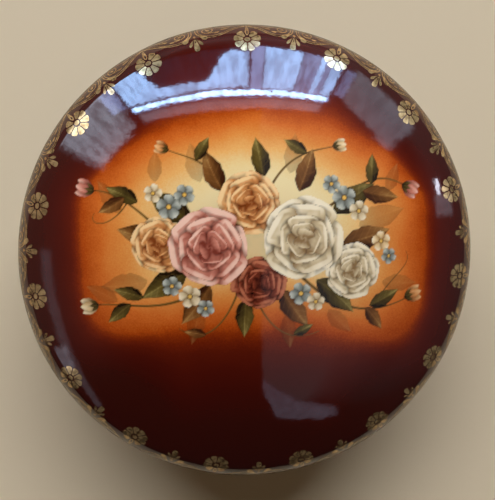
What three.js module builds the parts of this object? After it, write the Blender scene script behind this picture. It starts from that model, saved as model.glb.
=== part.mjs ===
// Round porcelain box with a domed lift-off lid.
// Millimetres. +Z is up, the axis of the box lies on Z, and the foot ring stands on z = 0.

import * as THREE from "three";

// Lid sizes
const rimRadius = 57; // widest circle of the lid
const crownHeight = 20; // top of the lid above its widest circle
const shoulderRadius = 9.2; // rounding between the flat dome and the skirt
const skirtHeight = 3; // upright skirt below the widest circle
const lidWall = 2.8;

// Base sizes
const ledgeHeight = 27; // level of the ledge that the lid stands on
const baseSetBack = 0.3; // the base's rim lies this far inside the lid's
const bandHeight = 5; // upright band below the ledge
const footRadius = 38; // outer edge of the foot ring
const footWidth = 3;
const footHeight = 2.5; // outside of the foot ring, up to the bowl
const footRecess = 1.8; // underside, above what the box stands on
const floorThickness = 4;

// Fit of the lid on the base
const lidClearance = 0.5; // between the lid's inner wall and the flange
const flangeWall = 2.2; // upright collar that keeps the lid in place
const flangeRise = 1; // flange above the lid's widest circle

// Soft edges of the porcelain
const seatRound = 0.6; // edges of the lid's seat and of the ledge
const flangeRound = 0.8;
const footRound = 0.6;

// Fineness of the turned surfaces
const roundSides = 64; // a multiple of four, so that a corner lies on each axis
const crownSteps = 7;
const shoulderSteps = 7;
const bowlSteps = 8;
const edgeSteps = 2;

// Levels and radii that follow from the sizes
const widestHeight = ledgeHeight + skirtHeight;
const lidInnerRadius = rimRadius - lidWall;
const flangeRadius = lidInnerRadius - lidClearance;
const flangeTop = widestHeight + flangeRise;
const bowlInnerRadius = flangeRadius - flangeWall;
const baseRadius = rimRadius - baseSetBack;
const bandBottom = ledgeHeight - bandHeight;
const floorRadius = footRadius - footWidth;
const floorTop = footRecess + floorThickness;
const quarter = Math.PI / 2;

// The dome is a sphere that runs into the round shoulder without a break.
const shoulderCentre = rimRadius - shoulderRadius;
const domeRadius =
  (shoulderCentre ** 2 + crownHeight ** 2 - shoulderRadius ** 2) /
  (2 * (crownHeight - shoulderRadius));
const domeCentre = widestHeight + crownHeight - domeRadius;
const domeMeetsShoulder = Math.atan2(widestHeight - domeCentre, shoulderCentre);

// Points on a round stretch of an outline. Angles start at the outward direction and turn upwards.
function arc(centre, radii, from, to, steps) {
  const points = [];
  for (let i = 0; i <= steps; i++) {
    const angle = from + ((to - from) * i) / steps;
    const r = centre[0] + radii[0] * Math.cos(angle);
    points.push(new THREE.Vector2(r, centre[1] + radii[1] * Math.sin(angle)));
  }
  return points;
}

// A round corner of an outline, in the corner's own quarter circle.
function roundedEdge(r, z, radius, from, to) {
  return arc([r, z], [radius, radius], from, to, edgeSteps);
}

// Points down the dome, from the axis to the shoulder, at a depth below the lid's outer face.
function domePoints(depth) {
  const radius = domeRadius - depth;
  const points = arc([0, domeCentre], [radius, radius], quarter, domeMeetsShoulder, crownSteps);
  points[0].x = 0;
  return points.slice(0, -1);
}

// Points down the shoulder, from the dome to the widest circle, at the same depth.
function shoulderPoints(depth) {
  const radius = Math.max(shoulderRadius - depth, seatRound);
  const centre = rimRadius - depth - radius;
  return arc([centre, widestHeight], [radius, radius], domeMeetsShoulder, 0, shoulderSteps);
}

// The lid: an even shell under the dome and shoulder, with a flat seat under its skirt.
function lidProfile() {
  return [
    ...domePoints(0),
    ...shoulderPoints(0),
    ...roundedEdge(rimRadius - seatRound, ledgeHeight + seatRound, seatRound, 0, -quarter),
    new THREE.Vector2(lidInnerRadius, ledgeHeight),
    ...shoulderPoints(lidWall).reverse(),
    ...domePoints(lidWall).reverse(),
  ];
}

// Outside of the base, from the middle of its underside up to the ledge.
function baseOutside() {
  return [
    new THREE.Vector2(0, footRecess),
    new THREE.Vector2(floorRadius, footRecess),
    ...roundedEdge(floorRadius + footRound, footRound, footRound, 2 * quarter, 3 * quarter),
    ...roundedEdge(footRadius - footRound, footRound, footRound, -quarter, 0),
    ...arc(
      [footRadius, bandBottom],
      [baseRadius - footRadius, bandBottom - footHeight],
      -quarter,
      0,
      bowlSteps,
    ),
    ...roundedEdge(baseRadius - seatRound, ledgeHeight - seatRound, seatRound, 0, quarter),
  ];
}

// The flange that stands inside the lid, from the ledge over its top.
function flangeProfile() {
  return [
    new THREE.Vector2(flangeRadius, ledgeHeight),
    ...roundedEdge(flangeRadius - flangeRound, flangeTop - flangeRound, flangeRound, 0, quarter),
    ...roundedEdge(
      bowlInnerRadius + flangeRound,
      flangeTop - flangeRound,
      flangeRound,
      quarter,
      2 * quarter,
    ),
  ];
}

// Inside of the bowl, from the flange down to the middle of the floor.
function bowlInside() {
  return [
    ...arc(
      [floorRadius, bandBottom],
      [bowlInnerRadius - floorRadius, bandBottom - floorTop],
      0,
      -quarter,
      bowlSteps,
    ),
    new THREE.Vector2(0, floorTop),
  ];
}

// A turned solid from an outline of (radius, height) that starts and ends on the axis.
function turned(name, profile, material) {
  const geometry = new THREE.LatheGeometry(profile, roundSides);
  geometry.rotateX(quarter);
  const mesh = new THREE.Mesh(geometry, material);
  mesh.name = name;
  return mesh;
}

function makeLid() {
  const glaze = new THREE.MeshStandardMaterial({
    name: "lid_glaze",
    color: 0x4a140a,
    roughness: 0.12,
    metalness: 0,
  });
  return turned("lid", lidProfile().reverse(), glaze);
}

function makeBase() {
  const glaze = new THREE.MeshStandardMaterial({
    name: "base_glaze",
    color: 0x3a0e08,
    roughness: 0.14,
    metalness: 0,
  });
  const profile = [...baseOutside(), ...flangeProfile(), ...bowlInside()];
  return turned("base", profile, glaze);
}

const box = new THREE.Group();
box.name = "porcelain_box";
box.add(makeBase(), makeLid());

export default box;
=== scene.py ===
"""Dresses the round porcelain box: glazed lid and bowl, fired gilding and a painted flower spray."""

import logging
import math
from dataclasses import dataclass, field
from enum import Enum
from typing import Callable, Sequence

import bpy
import numpy as np
from mathutils import Matrix, Vector


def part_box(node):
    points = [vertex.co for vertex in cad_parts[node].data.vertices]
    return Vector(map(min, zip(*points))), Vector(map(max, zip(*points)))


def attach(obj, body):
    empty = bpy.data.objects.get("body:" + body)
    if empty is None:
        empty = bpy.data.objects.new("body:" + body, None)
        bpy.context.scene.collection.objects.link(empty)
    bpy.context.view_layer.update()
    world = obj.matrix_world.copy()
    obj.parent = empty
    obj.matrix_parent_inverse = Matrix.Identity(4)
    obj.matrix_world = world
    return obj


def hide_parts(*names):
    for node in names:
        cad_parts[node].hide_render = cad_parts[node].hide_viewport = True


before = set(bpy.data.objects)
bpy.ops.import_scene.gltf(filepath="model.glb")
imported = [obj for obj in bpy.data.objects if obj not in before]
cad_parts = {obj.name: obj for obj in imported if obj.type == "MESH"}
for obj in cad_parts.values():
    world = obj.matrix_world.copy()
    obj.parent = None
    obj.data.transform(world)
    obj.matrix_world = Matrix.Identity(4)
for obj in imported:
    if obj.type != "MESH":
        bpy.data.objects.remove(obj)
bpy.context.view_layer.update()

Pair = tuple[float, float]
Triple = tuple[float, float, float]
Array = np.ndarray
Piece = bpy.types.Object
Material = bpy.types.Material
Socket = bpy.types.NodeSocket

LOG = logging.getLogger("porcelain_box")
MM = 0.001
FULL_TURN = 2 * math.pi
QUARTER = math.pi / 2

LID_LOW, LID_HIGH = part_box("lid")
BASE_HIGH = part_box("base")[1]

# Millimetres: the lid's wall, the flange's play inside it, and how far the glazed faces stay inside the
# solids at the side and on top, which leaves room for the gilding.
LID_WALL = 2.8
FLANGE_PLAY = 0.5
SIDE_INSET = 0.06
TOP_INSET = 0.05


def linear(red: int, green: int, blue: int) -> tuple[float, float, float, float]:
    """Turns a colour as seen on a screen into the light values that a shader takes.

    Args:
        red: Red, 0 to 255.
        green: Green, 0 to 255.
        blue: Blue, 0 to 255.

    Returns:
        Red, green, blue and alpha as light values.
    """
    def channel(value: int) -> float:
        """Turns one channel into light."""
        share = value / 255
        return share / 12.92 if share <= 0.04045 else ((share + 0.055) / 1.055) ** 2.4

    return (channel(red), channel(green), channel(blue), 1.0)


class Region(Enum):
    """Parts of a turned piece that take their own finish."""

    OUTSIDE = 0
    INSIDE = 1
    BARE = 2


@dataclass
class Stretch:
    """Part of a turned outline, as points of radius and height in millimetres, with its finish."""

    points: list[Pair]
    region: Region


def arc_points(centre: Pair, radii: Pair, start: float, end: float, steps: int) -> list[Pair]:
    """Gives points along a round stretch of an outline.

    Args:
        centre: Radius and height of the arc's centre.
        radii: Half-widths of the arc outwards and upwards.
        start: First angle, from the outward direction upwards.
        end: Last angle.
        steps: Number of straight steps.

    Returns:
        The points from start to end.
    """
    angles = (start + (end - start) * i / steps for i in range(steps + 1))
    return [(centre[0] + radii[0] * math.cos(a), centre[1] + radii[1] * math.sin(a)) for a in angles]


@dataclass
class LidForm:
    """Outline of the lid in millimetres: a dome that runs into a round shoulder and a skirt."""

    rim_radius: float = LID_HIGH.x / MM - SIDE_INSET
    seat_height: float = LID_LOW.z / MM
    top_height: float = LID_HIGH.z / MM - TOP_INSET
    skirt_height: float = 3.0
    shoulder_radius: float = 9.2
    wall: float = LID_WALL
    edge_round: float = 0.6
    # Share of that edge's quarter turn that the glaze covers.
    glazed: float = 0.6

    def __post_init__(self) -> None:
        """Works out the dome that meets the shoulder without a break."""
        self.widest_height = self.seat_height + self.skirt_height
        self.shoulder_centre = self.rim_radius - self.shoulder_radius
        crown = self.top_height - self.widest_height
        across = self.shoulder_centre**2 + crown**2 - self.shoulder_radius**2
        self.dome_radius = across / (2 * (crown - self.shoulder_radius))
        self.dome_centre = self.top_height - self.dome_radius
        self.turn = math.atan2(self.widest_height - self.dome_centre, self.shoulder_centre)
        self.shoulder_length = self.shoulder_radius * self.turn

    def place(self, reach: Array) -> tuple[Array, Array, Array]:
        """Finds points of the lid's face by their way in from the widest circle.

        Args:
            reach: Distances over the surface from the widest circle, negative on the skirt.

        Returns:
            Radius, height and the angle of the outward normal above level.
        """
        on_shoulder = np.clip(reach / self.shoulder_radius, 0.0, self.turn)
        past = np.maximum(reach - self.shoulder_length, 0.0) / self.dome_radius
        angle = on_shoulder + past
        dome = reach > self.shoulder_length
        radius = np.where(
            dome,
            self.dome_radius * np.cos(angle),
            self.shoulder_centre + self.shoulder_radius * np.cos(angle),
        )
        height = np.where(
            dome,
            self.dome_centre + self.dome_radius * np.sin(angle),
            self.widest_height + self.shoulder_radius * np.sin(angle) + np.minimum(reach, 0.0),
        )
        return radius, height, angle

    def dome_height(self, radius: Array) -> Array:
        """Gives the height of the dome over a distance from the axis."""
        return self.dome_centre + np.sqrt(self.dome_radius**2 - radius**2)

    def outline(self) -> list[Stretch]:
        """Gives the lid's outline, from the top of the dome round to its underside."""
        centre = (self.shoulder_centre, self.widest_height)
        rim, seat, edge = self.rim_radius, self.seat_height, self.edge_round
        inner = rim - self.wall
        depth = self.dome_radius - self.wall
        inner_shoulder = self.shoulder_radius - self.wall
        glaze_end = -QUARTER * self.glazed
        outside = (
            arc_points((0, self.dome_centre), (self.dome_radius,) * 2, QUARTER, self.turn, 30)[:-1]
            + arc_points(centre, (self.shoulder_radius,) * 2, self.turn, 0, 26)
            + arc_points((rim - edge, seat + edge), (edge, edge), 0, glaze_end, 4)
        )
        bare = arc_points((rim - edge, seat + edge), (edge, edge), glaze_end, -QUARTER, 2)
        small = edge / 2
        bare += arc_points((inner + small, seat + small), (small, small), -QUARTER, -2 * QUARTER, 4)
        inside = (
            [(inner, self.widest_height)]
            + arc_points(centre, (inner_shoulder,) * 2, 0, self.turn, 16)[1:]
            + arc_points((0, self.dome_centre), (depth, depth), self.turn, QUARTER, 24)[1:]
        )
        return [
            Stretch(outside, Region.OUTSIDE),
            Stretch(bare, Region.BARE),
            Stretch(inside, Region.INSIDE),
        ]


@dataclass
class BaseForm:
    """Outline of the base in millimetres: foot ring, bowl, ledge and upright flange."""

    rim_radius: float = BASE_HIGH.x / MM - SIDE_INSET
    flange_top: float = BASE_HIGH.z / MM
    ledge_height: float = LID_LOW.z / MM
    band_height: float = 5.0
    foot_radius: float = 38.0
    foot_width: float = 3.0
    foot_height: float = 2.5
    foot_recess: float = 1.8
    floor: float = 4.0
    flange_radius: float = LID_HIGH.x / MM - LID_WALL - FLANGE_PLAY
    flange_wall: float = 2.2
    edge_round: float = 0.6
    flange_round: float = 0.8
    fillet: float = 1.2
    # How much higher the hollow outside the foot sits, so that it meets the bowl.
    fillet_rise: float = 0.35
    cove: float = 0.3
    bowl_turn: float = 0.9 * QUARTER
    fillet_turn: float = 1.15 * QUARTER
    floor_rings: tuple[float, ...] = (26.0, 16.0, 8.0, 0.0)

    def place(self, reach: Array) -> tuple[Array, Array, Array]:
        """Finds points of the bowl's face by their way down from the ledge.

        Args:
            reach: Distances over the surface from the level of the ledge.

        Returns:
            Radius, height and the angle of the outward normal above level.
        """
        band = self.ledge_height - self.band_height
        angles = np.linspace(0, -self.bowl_turn, 400)
        wide, deep = self.rim_radius - self.foot_radius, band - self.foot_height
        radii = self.foot_radius + wide * np.cos(angles)
        heights = band + deep * np.sin(angles)
        steps = np.hypot(np.diff(radii), np.diff(heights))
        way = self.band_height + np.concatenate([[0.0], np.cumsum(steps)])
        slopes = np.arctan2(np.sin(angles) / deep, np.cos(angles) / wide)
        above = np.maximum(self.band_height - reach, 0.0)
        height = np.interp(reach, way, heights) + above
        return np.interp(reach, way, radii), height, np.interp(reach, way, slopes)

    def outline(self) -> list[Stretch]:
        """Gives the base's outline, from the middle of its underside round to its floor."""
        band = self.ledge_height - self.band_height
        foot, edge, rim = self.foot_radius, self.edge_round, self.rim_radius
        floor_radius = foot - self.foot_width
        inner = self.flange_radius - self.flange_wall
        floor_top = self.foot_recess + self.floor
        tip, cove = self.flange_round, self.cove
        underside = [(0.0, self.foot_recess), (floor_radius - self.fillet, self.foot_recess)]
        underside += arc_points(
            (floor_radius - self.fillet, self.foot_recess - self.fillet / 2),
            (self.fillet, self.fillet / 2), QUARTER, 0, 5,
        )[1:]
        foot_face = arc_points((floor_radius + edge, edge), (edge, edge), 2 * QUARTER, 3 * QUARTER, 4)
        foot_face += arc_points((foot - edge, edge), (edge, edge), -QUARTER, 0, 4)
        bowl = arc_points(
            (foot + self.fillet, self.foot_height - self.fillet + self.fillet_rise),
            (self.fillet, self.fillet), 2 * QUARTER, self.fillet_turn, 6,
        )
        bowl += arc_points((foot, band), (rim - foot, band - self.foot_height), -self.bowl_turn, 0, 30)
        bowl += arc_points((rim - edge, self.ledge_height - edge), (edge, edge), 0, QUARTER / 2, 4)
        ledge = arc_points((rim - edge, self.ledge_height - edge), (edge, edge), QUARTER / 2, QUARTER, 3)
        ledge += arc_points(
            (self.flange_radius + cove, self.ledge_height + cove), (cove, cove), 3 * QUARTER, 2 * QUARTER, 3
        )
        ledge += arc_points((self.flange_radius - tip, self.flange_top - tip), (tip, tip), 0, QUARTER, 6)
        inside = arc_points((inner + tip, self.flange_top - tip), (tip, tip), QUARTER, 2 * QUARTER, 6)
        inside += arc_points((floor_radius, band), (inner - floor_radius, band - floor_top), 0, -QUARTER, 28)
        inside += [(radius, floor_top) for radius in self.floor_rings]
        return [
            Stretch(underside, Region.INSIDE),
            Stretch(foot_face, Region.BARE),
            Stretch(bowl, Region.OUTSIDE),
            Stretch(ledge, Region.BARE),
            Stretch(inside, Region.INSIDE),
        ]


class Wheel:
    """Turns outlines into round pieces, as a potter's wheel does.

    Attributes:
        SIDES: Steps round a piece.
        WELD: Points nearer than this are merged.
        CREASE: Edges sharper than this stay sharp, in degrees.
        BATCH: Faces that are given their material at a time.
    """

    SIDES = 320
    WELD = 0.0005 * MM
    CREASE = 50
    BATCH = 4000

    @staticmethod
    def pen(name: str, at: Vector) -> Piece:
        """Adds a small plane and merges it to one vertex, which then draws an outline.

        Args:
            name: Name of the new piece.
            at: Where the outline starts.

        Returns:
            The new piece, in edit mode with its vertex selected.
        """
        bpy.ops.object.select_all(action="DESELECT")
        bpy.ops.mesh.primitive_plane_add(size=MM, location=at)
        piece = bpy.context.object
        piece.name = name
        bpy.ops.object.transform_apply(location=True, rotation=False, scale=False)
        bpy.ops.object.mode_set(mode="EDIT")
        bpy.ops.mesh.select_all(action="SELECT")
        bpy.ops.mesh.merge(type="CENTER")
        return piece

    @classmethod
    def turn(cls, name: str, outline: Sequence[Stretch], materials: Sequence[Material]) -> Piece:
        """Turns an outline round the axis and gives each stretch its material.

        Args:
            name: Name of the new piece.
            outline: The stretches in order, from the axis to the axis.
            materials: The material of each region, in the order of their numbers.

        Returns:
            The finished round piece.
        """
        route = [Vector((r * MM, 0, z * MM)) for part in outline for r, z in part.points]
        piece = cls.pen(name, route[0])
        for here, there in zip(route, route[1:]):
            step = there - here
            if step.length > cls.WELD:
                bpy.ops.mesh.extrude_region_move(TRANSFORM_OT_translate={"value": step})
        bpy.ops.mesh.select_all(action="SELECT")
        bpy.ops.mesh.spin(
            steps=cls.SIDES, angle=FULL_TURN, center=(0, 0, 0), axis=(0, 0, 1), use_auto_merge=True
        )
        bpy.ops.mesh.select_all(action="SELECT")
        bpy.ops.mesh.remove_doubles(threshold=cls.WELD)
        bpy.ops.mesh.normals_make_consistent(inside=False)
        bpy.ops.object.mode_set(mode="OBJECT")
        bpy.ops.object.shade_smooth_by_angle(angle=math.radians(cls.CREASE))
        for material in materials:
            piece.data.materials.append(material)
        cls.assign(piece, outline)
        return piece

    @classmethod
    def assign(cls, piece: Piece, outline: Sequence[Stretch]) -> None:
        """Gives each face the slot of the stretch that it lies nearest to.

        Args:
            piece: The turned piece.
            outline: The stretches that it was turned from.
        """
        middles, regions = [], []
        for part in outline:
            points = np.array(part.points)
            middles.append((points[1:] + points[:-1]) / 2)
            regions += [part.region.value] * (len(points) - 1)
        nearest = np.concatenate(middles)
        count = len(piece.data.polygons)
        centres = np.empty(count * 3)
        piece.data.polygons.foreach_get("center", centres)
        centres = centres.reshape(-1, 3) / MM
        flat = np.stack([np.hypot(centres[:, 0], centres[:, 1]), centres[:, 2]], axis=1)
        slots = np.empty(count, dtype=np.int32)
        for first in range(0, count, cls.BATCH):
            part = slice(first, first + cls.BATCH)
            gaps = ((flat[part, None, :] - nearest[None, :, :]) ** 2).sum(axis=2)
            slots[part] = np.array(regions)[gaps.argmin(axis=1)]
        piece.data.polygons.foreach_set("material_index", slots)


class NodeBoard:
    """Small helper that lays and links the nodes of one material, lamp or world."""

    SURFACES = ("Principled BSDF", "Background", "Emission")

    def __init__(self, owner: bpy.types.ID) -> None:
        """Starts with the surface, background or emission that the owner comes with.

        Args:
            owner: The material, world or lamp.
        """
        self.owner = owner
        owner.use_nodes = True
        self.tree = owner.node_tree
        self.surface = next(node for node in self.tree.nodes if node.name in self.SURFACES)

    def add(self, kind: str, **settings: object) -> bpy.types.Node:
        """Adds a node and sets its properties."""
        node = self.tree.nodes.new(kind)
        for key, value in settings.items():
            setattr(node, key, value)
        return node

    def link(self, out: Socket, into: Socket) -> None:
        """Links two sockets."""
        self.tree.links.new(out, into)

    def feed(self, socket: Socket, value: object) -> None:
        """Links a socket to another, or sets it to a plain value."""
        if isinstance(value, Socket):
            self.link(value, socket)
        else:
            socket.default_value = value

    def math(self, operation: str, *values: object, clamp: bool = False) -> Socket:
        """Adds a Math node.

        Args:
            operation: Name of the operation.
            *values: A socket or number for each input.
            clamp: Whether the result is kept between 0 and 1.

        Returns:
            The result's socket.
        """
        node = self.add("ShaderNodeMath", operation=operation, use_clamp=clamp)
        for socket, value in zip(node.inputs, values):
            self.feed(socket, value)
        return node.outputs[0]

    def product(self, first: Socket, *others: Socket) -> Socket:
        """Multiplies values with each other."""
        total = first
        for other in others:
            total = self.math("MULTIPLY", total, other)
        return total

    def split(self, point: Socket) -> tuple[Socket, ...]:
        """Splits a place or direction into its three coordinates."""
        parts = self.add("ShaderNodeSeparateXYZ")
        self.link(point, parts.inputs[0])
        return tuple(parts.outputs)

    def vector(self, operation: str, point: Socket, value: Sequence[float]) -> bpy.types.Node:
        """Adds a Vector Math node whose second value is fixed."""
        node = self.add("ShaderNodeVectorMath", operation=operation)
        self.link(point, node.inputs[0])
        node.inputs[1].default_value = value
        return node

    def step(self, value: Socket, low: float, high: float) -> Socket:
        """Rises smoothly from 0 to 1 between two values, or falls where low is above high."""
        node = self.add("ShaderNodeMapRange", interpolation_type="SMOOTHSTEP")
        self.link(value, node.inputs["Value"])
        node.inputs["From Min"].default_value = low
        node.inputs["From Max"].default_value = high
        return node.outputs["Result"]

    def object_point(self) -> Socket:
        """Gives the place on the piece, in metres."""
        return self.add("ShaderNodeTexCoord").outputs["Object"]

    def noise(self, point: Socket, size: float, detail: float = 2.0, rough: float = 0.5) -> Socket:
        """Adds a noise pattern.

        Args:
            point: Place on the piece.
            size: Rough size of a blotch in metres.
            detail: Number of finer layers.
            rough: Weight of the finer layers.

        Returns:
            The noise value, around 0.5.
        """
        node = self.add("ShaderNodeTexNoise")
        self.link(point, node.inputs["Vector"])
        node.inputs["Scale"].default_value = 1 / size
        node.inputs["Detail"].default_value = detail
        node.inputs["Roughness"].default_value = rough
        return node.outputs["Fac"]

    def ramp(self, factor: Socket, stops: Sequence[tuple[float, tuple]]) -> Socket:
        """Adds a colour ramp.

        Args:
            factor: Place along the ramp.
            stops: Positions and colours.

        Returns:
            The colour's socket.
        """
        node = self.add("ShaderNodeValToRGB")
        node.color_ramp.interpolation = "LINEAR"
        elements = node.color_ramp.elements
        while len(elements) < len(stops):
            elements.new(0.5)
        for element, (position, colour) in zip(elements, stops):
            element.position = position
            element.color = colour
        self.link(factor, node.inputs["Fac"])
        return node.outputs["Color"]

    def mix(self, share: object, first: object, second: object, blend: str = "MIX") -> Socket:
        """Mixes two colours.

        Args:
            share: Share of the second colour.
            first: First colour.
            second: Second colour.
            blend: Way of blending.

        Returns:
            The mixed colour's socket.
        """
        node = self.add("ShaderNodeMix", data_type="RGBA", blend_type=blend)
        self.feed(node.inputs["Factor"], share)
        self.feed(node.inputs["A"], first)
        self.feed(node.inputs["B"], second)
        return node.outputs["Result"]

    def bump(self, height: Socket, depth: float, normal: Socket | None = None) -> Socket:
        """Adds a bump.

        Args:
            height: Height pattern, 0 to 1.
            depth: Height of 1 in metres.
            normal: Normal to start from, where another bump comes first.

        Returns:
            The bumped normal's socket.
        """
        node = self.add("ShaderNodeBump")
        node.inputs["Strength"].default_value = 1.0
        node.inputs["Distance"].default_value = depth
        self.link(height, node.inputs["Height"])
        if normal is not None:
            self.link(normal, node.inputs["Normal"])
        return node.outputs["Normal"]


@dataclass(frozen=True)
class Gloss:
    """How the glaze shines: its roughness, its slow and fine ripples and its few pinholes."""

    roughness: float = 0.05
    ior: float = 1.55
    ripple_size: float = 16 * MM
    ripple_depth: float = 0.03 * MM
    peel_size: float = 1.2 * MM
    peel_depth: float = 0.006 * MM
    pit_gap: float = 9 * MM
    pit_reach: float = 0.028
    pit_depth: float = 0.02 * MM

    def lay(self, board: NodeBoard, point: Socket) -> None:
        """Sets the surface's gloss, ripples and the few pinholes of the firing.

        Args:
            board: The material's nodes.
            point: Place on the piece.
        """
        board.surface.inputs["Roughness"].default_value = self.roughness
        board.surface.inputs["IOR"].default_value = self.ior
        slow = board.bump(board.noise(point, self.ripple_size, 1.0), self.ripple_depth)
        fine = board.bump(board.noise(point, self.peel_size, 1.0), self.peel_depth, slow)
        cells = board.add("ShaderNodeTexVoronoi", feature="F1")
        board.link(point, cells.inputs["Vector"])
        cells.inputs["Scale"].default_value = 1 / self.pit_gap
        hollow = board.math("DIVIDE", cells.outputs["Distance"], self.pit_reach, clamp=True)
        board.link(board.bump(hollow, self.pit_depth, fine), board.surface.inputs["Normal"])


@dataclass(frozen=True)
class GroundColour:
    """The dark ground of lid and bowl, with the amber glow that fades into it.

    Attributes:
        cloud: Size of the clouds of its two tones, deep and warm.
        middle: Middle of the glow, across and along.
        half_width: Its reach to either side.
        half_height: Its reach to the back.
        half_depth: Its reach to the front, in the middle.
        droop: Growth of that reach with the square of the way across.
        tilt: Growth of that reach with the way across.
        back_power: Squareness of its back half, where 2 is an ellipse.
        front_power: How much squarer its front half is.
        flanks: Ways across between which its edge comes to darken faster.
        edge: Distance from which it darkens faster there.
        haste: How much faster.
        wander: Strength of the waves of its edge.
        stipple: Strength of its fine spots.
        span: Distance at the end of its colours.
        stops: Distances with their colours, where 1 is the reach.
    """

    deep: tuple = linear(52, 10, 3)
    warm: tuple = linear(66, 15, 6)
    cloud: float = 22 * MM
    middle: Pair = (0.9 * MM, 12 * MM)
    half_width: float = 45.6 * MM
    half_height: float = 26.5 * MM
    half_depth: float = 28.6 * MM
    droop: float = 7.0
    tilt: float = 0.05
    back_power: float = 1.75
    front_power: float = 2.8
    flanks: Pair = (16 * MM, 38 * MM)
    edge: float = 0.88
    haste: float = 2.6
    wander_size: float = 9 * MM
    wander: float = 0.16
    stipple_size: float = 0.4 * MM
    stipple: float = 0.10
    span: float = 1.8
    stops: tuple = (
        (0.30, linear(232, 214, 165)),
        (0.42, linear(230, 204, 146)),
        (0.55, linear(227, 171, 100)),
        (0.67, linear(216, 138, 66)),
        (0.78, linear(202, 104, 38)),
        (0.87, linear(170, 71, 14)),
        (0.94, linear(132, 46, 6)),
        (1.02, linear(106, 30, 5)),
        (1.10, linear(88, 21, 4)),
        (1.24, linear(76, 15, 3)),
        (1.45, linear(67, 12, 3)),
        (1.75, linear(58, 13, 5)),
    )

    def ground(self, board: NodeBoard, point: Socket) -> Socket:
        """Gives the colour of the plain dark ground."""
        return board.mix(board.noise(point, self.cloud, 3.0), self.deep, self.warm)

    def distance(self, board: NodeBoard, point: Socket) -> Socket:
        """Gives how far a place lies from the middle of the glow, where 1 is its dark edge.

        Args:
            board: The material's nodes.
            point: Place on the piece.

        Returns:
            The distance's socket.
        """
        place_x, place_y, _ = board.split(point)
        across = board.math("SUBTRACT", place_x, self.middle[0])
        along = board.math("SUBTRACT", place_y, self.middle[1])
        wide = board.math("DIVIDE", board.math("ABSOLUTE", across), self.half_width)
        sag = board.product(board.math("MULTIPLY_ADD", across, self.droop, self.tilt), across)
        low = board.math("DIVIDE", along, board.math("ADD", sag, self.half_depth))
        high = board.math("DIVIDE", along, self.half_height)
        below = board.math("LESS_THAN", along, 0.0)
        power = board.math("MULTIPLY_ADD", below, self.front_power, self.back_power)
        tall = board.add("ShaderNodeMix", data_type="FLOAT")
        board.feed(tall.inputs["Factor"], below)
        board.feed(tall.inputs["A"], high)
        board.feed(tall.inputs["B"], low)
        upright = board.math("ABSOLUTE", tall.outputs["Result"])
        total = board.math("ADD", board.math("POWER", wide, power), board.math("POWER", upright, power))
        gap = board.math("POWER", total, board.math("DIVIDE", 1.0, power))
        aside = board.step(board.math("ABSOLUTE", across), *self.flanks)
        past = board.math("MAXIMUM", board.math("SUBTRACT", gap, self.edge), 0.0)
        return board.math("MULTIPLY_ADD", board.product(past, aside), self.haste, gap)

    def glow(self, board: NodeBoard, point: Socket) -> Socket:
        """Gives the colour of the ground with its glow.

        Args:
            board: The material's nodes.
            point: Place on the piece.

        Returns:
            The colour's socket.
        """
        waves = board.math("SUBTRACT", board.noise(point, self.wander_size, 4.0), 0.5)
        spots = board.math("SUBTRACT", board.noise(point, self.stipple_size, 2.0), 0.5)
        uneven = board.math("MULTIPLY_ADD", waves, self.wander, self.distance(board, point))
        spotted = board.math("MULTIPLY_ADD", spots, self.stipple, uneven)
        share = board.math("DIVIDE", spotted, self.span, clamp=True)
        return board.ramp(share, [(place / self.span, colour) for place, colour in self.stops])


@dataclass(frozen=True)
class DarkGlaze:
    """Glossy dark glaze of the outside."""

    name: str
    glowing: bool
    gloss: Gloss = Gloss()
    colour: GroundColour = GroundColour()

    def make(self) -> Material:
        """Builds the material."""
        board = NodeBoard(bpy.data.materials.new(self.name))
        point = board.object_point()
        ground = self.colour.glow(board, point) if self.glowing else self.colour.ground(board, point)
        board.link(ground, board.surface.inputs["Base Color"])
        self.gloss.lay(board, point)
        return board.owner


@dataclass(frozen=True)
class WhiteGlaze:
    """Glossy ivory-white glaze of the insides."""

    name: str = "white_glaze"
    colour: tuple = linear(238, 234, 224)
    shade: tuple = linear(226, 220, 206)
    cloud: float = 18 * MM
    gloss: Gloss = Gloss(roughness=0.07)

    def make(self) -> Material:
        """Builds the material."""
        board = NodeBoard(bpy.data.materials.new(self.name))
        point = board.object_point()
        cloud = board.noise(point, self.cloud, 3.0)
        board.link(board.mix(cloud, self.colour, self.shade), board.surface.inputs["Base Color"])
        self.gloss.lay(board, point)
        return board.owner


@dataclass(frozen=True)
class BarePorcelain:
    """Matt unglazed porcelain of the foot and the seats."""

    name: str = "bare_porcelain"
    colour: tuple = linear(226, 218, 202)
    grime: tuple = linear(190, 178, 156)
    wear_size: float = 3 * MM
    roughness: float = 0.62
    grain_size: float = 0.35 * MM
    grain_depth: float = 0.02 * MM

    def make(self) -> Material:
        """Builds the material."""
        board = NodeBoard(bpy.data.materials.new(self.name))
        point = board.object_point()
        worn = board.noise(point, self.wear_size, 5.0, 0.65)
        board.link(board.mix(worn, self.colour, self.grime), board.surface.inputs["Base Color"])
        board.surface.inputs["Roughness"].default_value = self.roughness
        grain = board.bump(board.noise(point, self.grain_size, 3.0), self.grain_depth)
        board.link(grain, board.surface.inputs["Normal"])
        return board.owner


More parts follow.
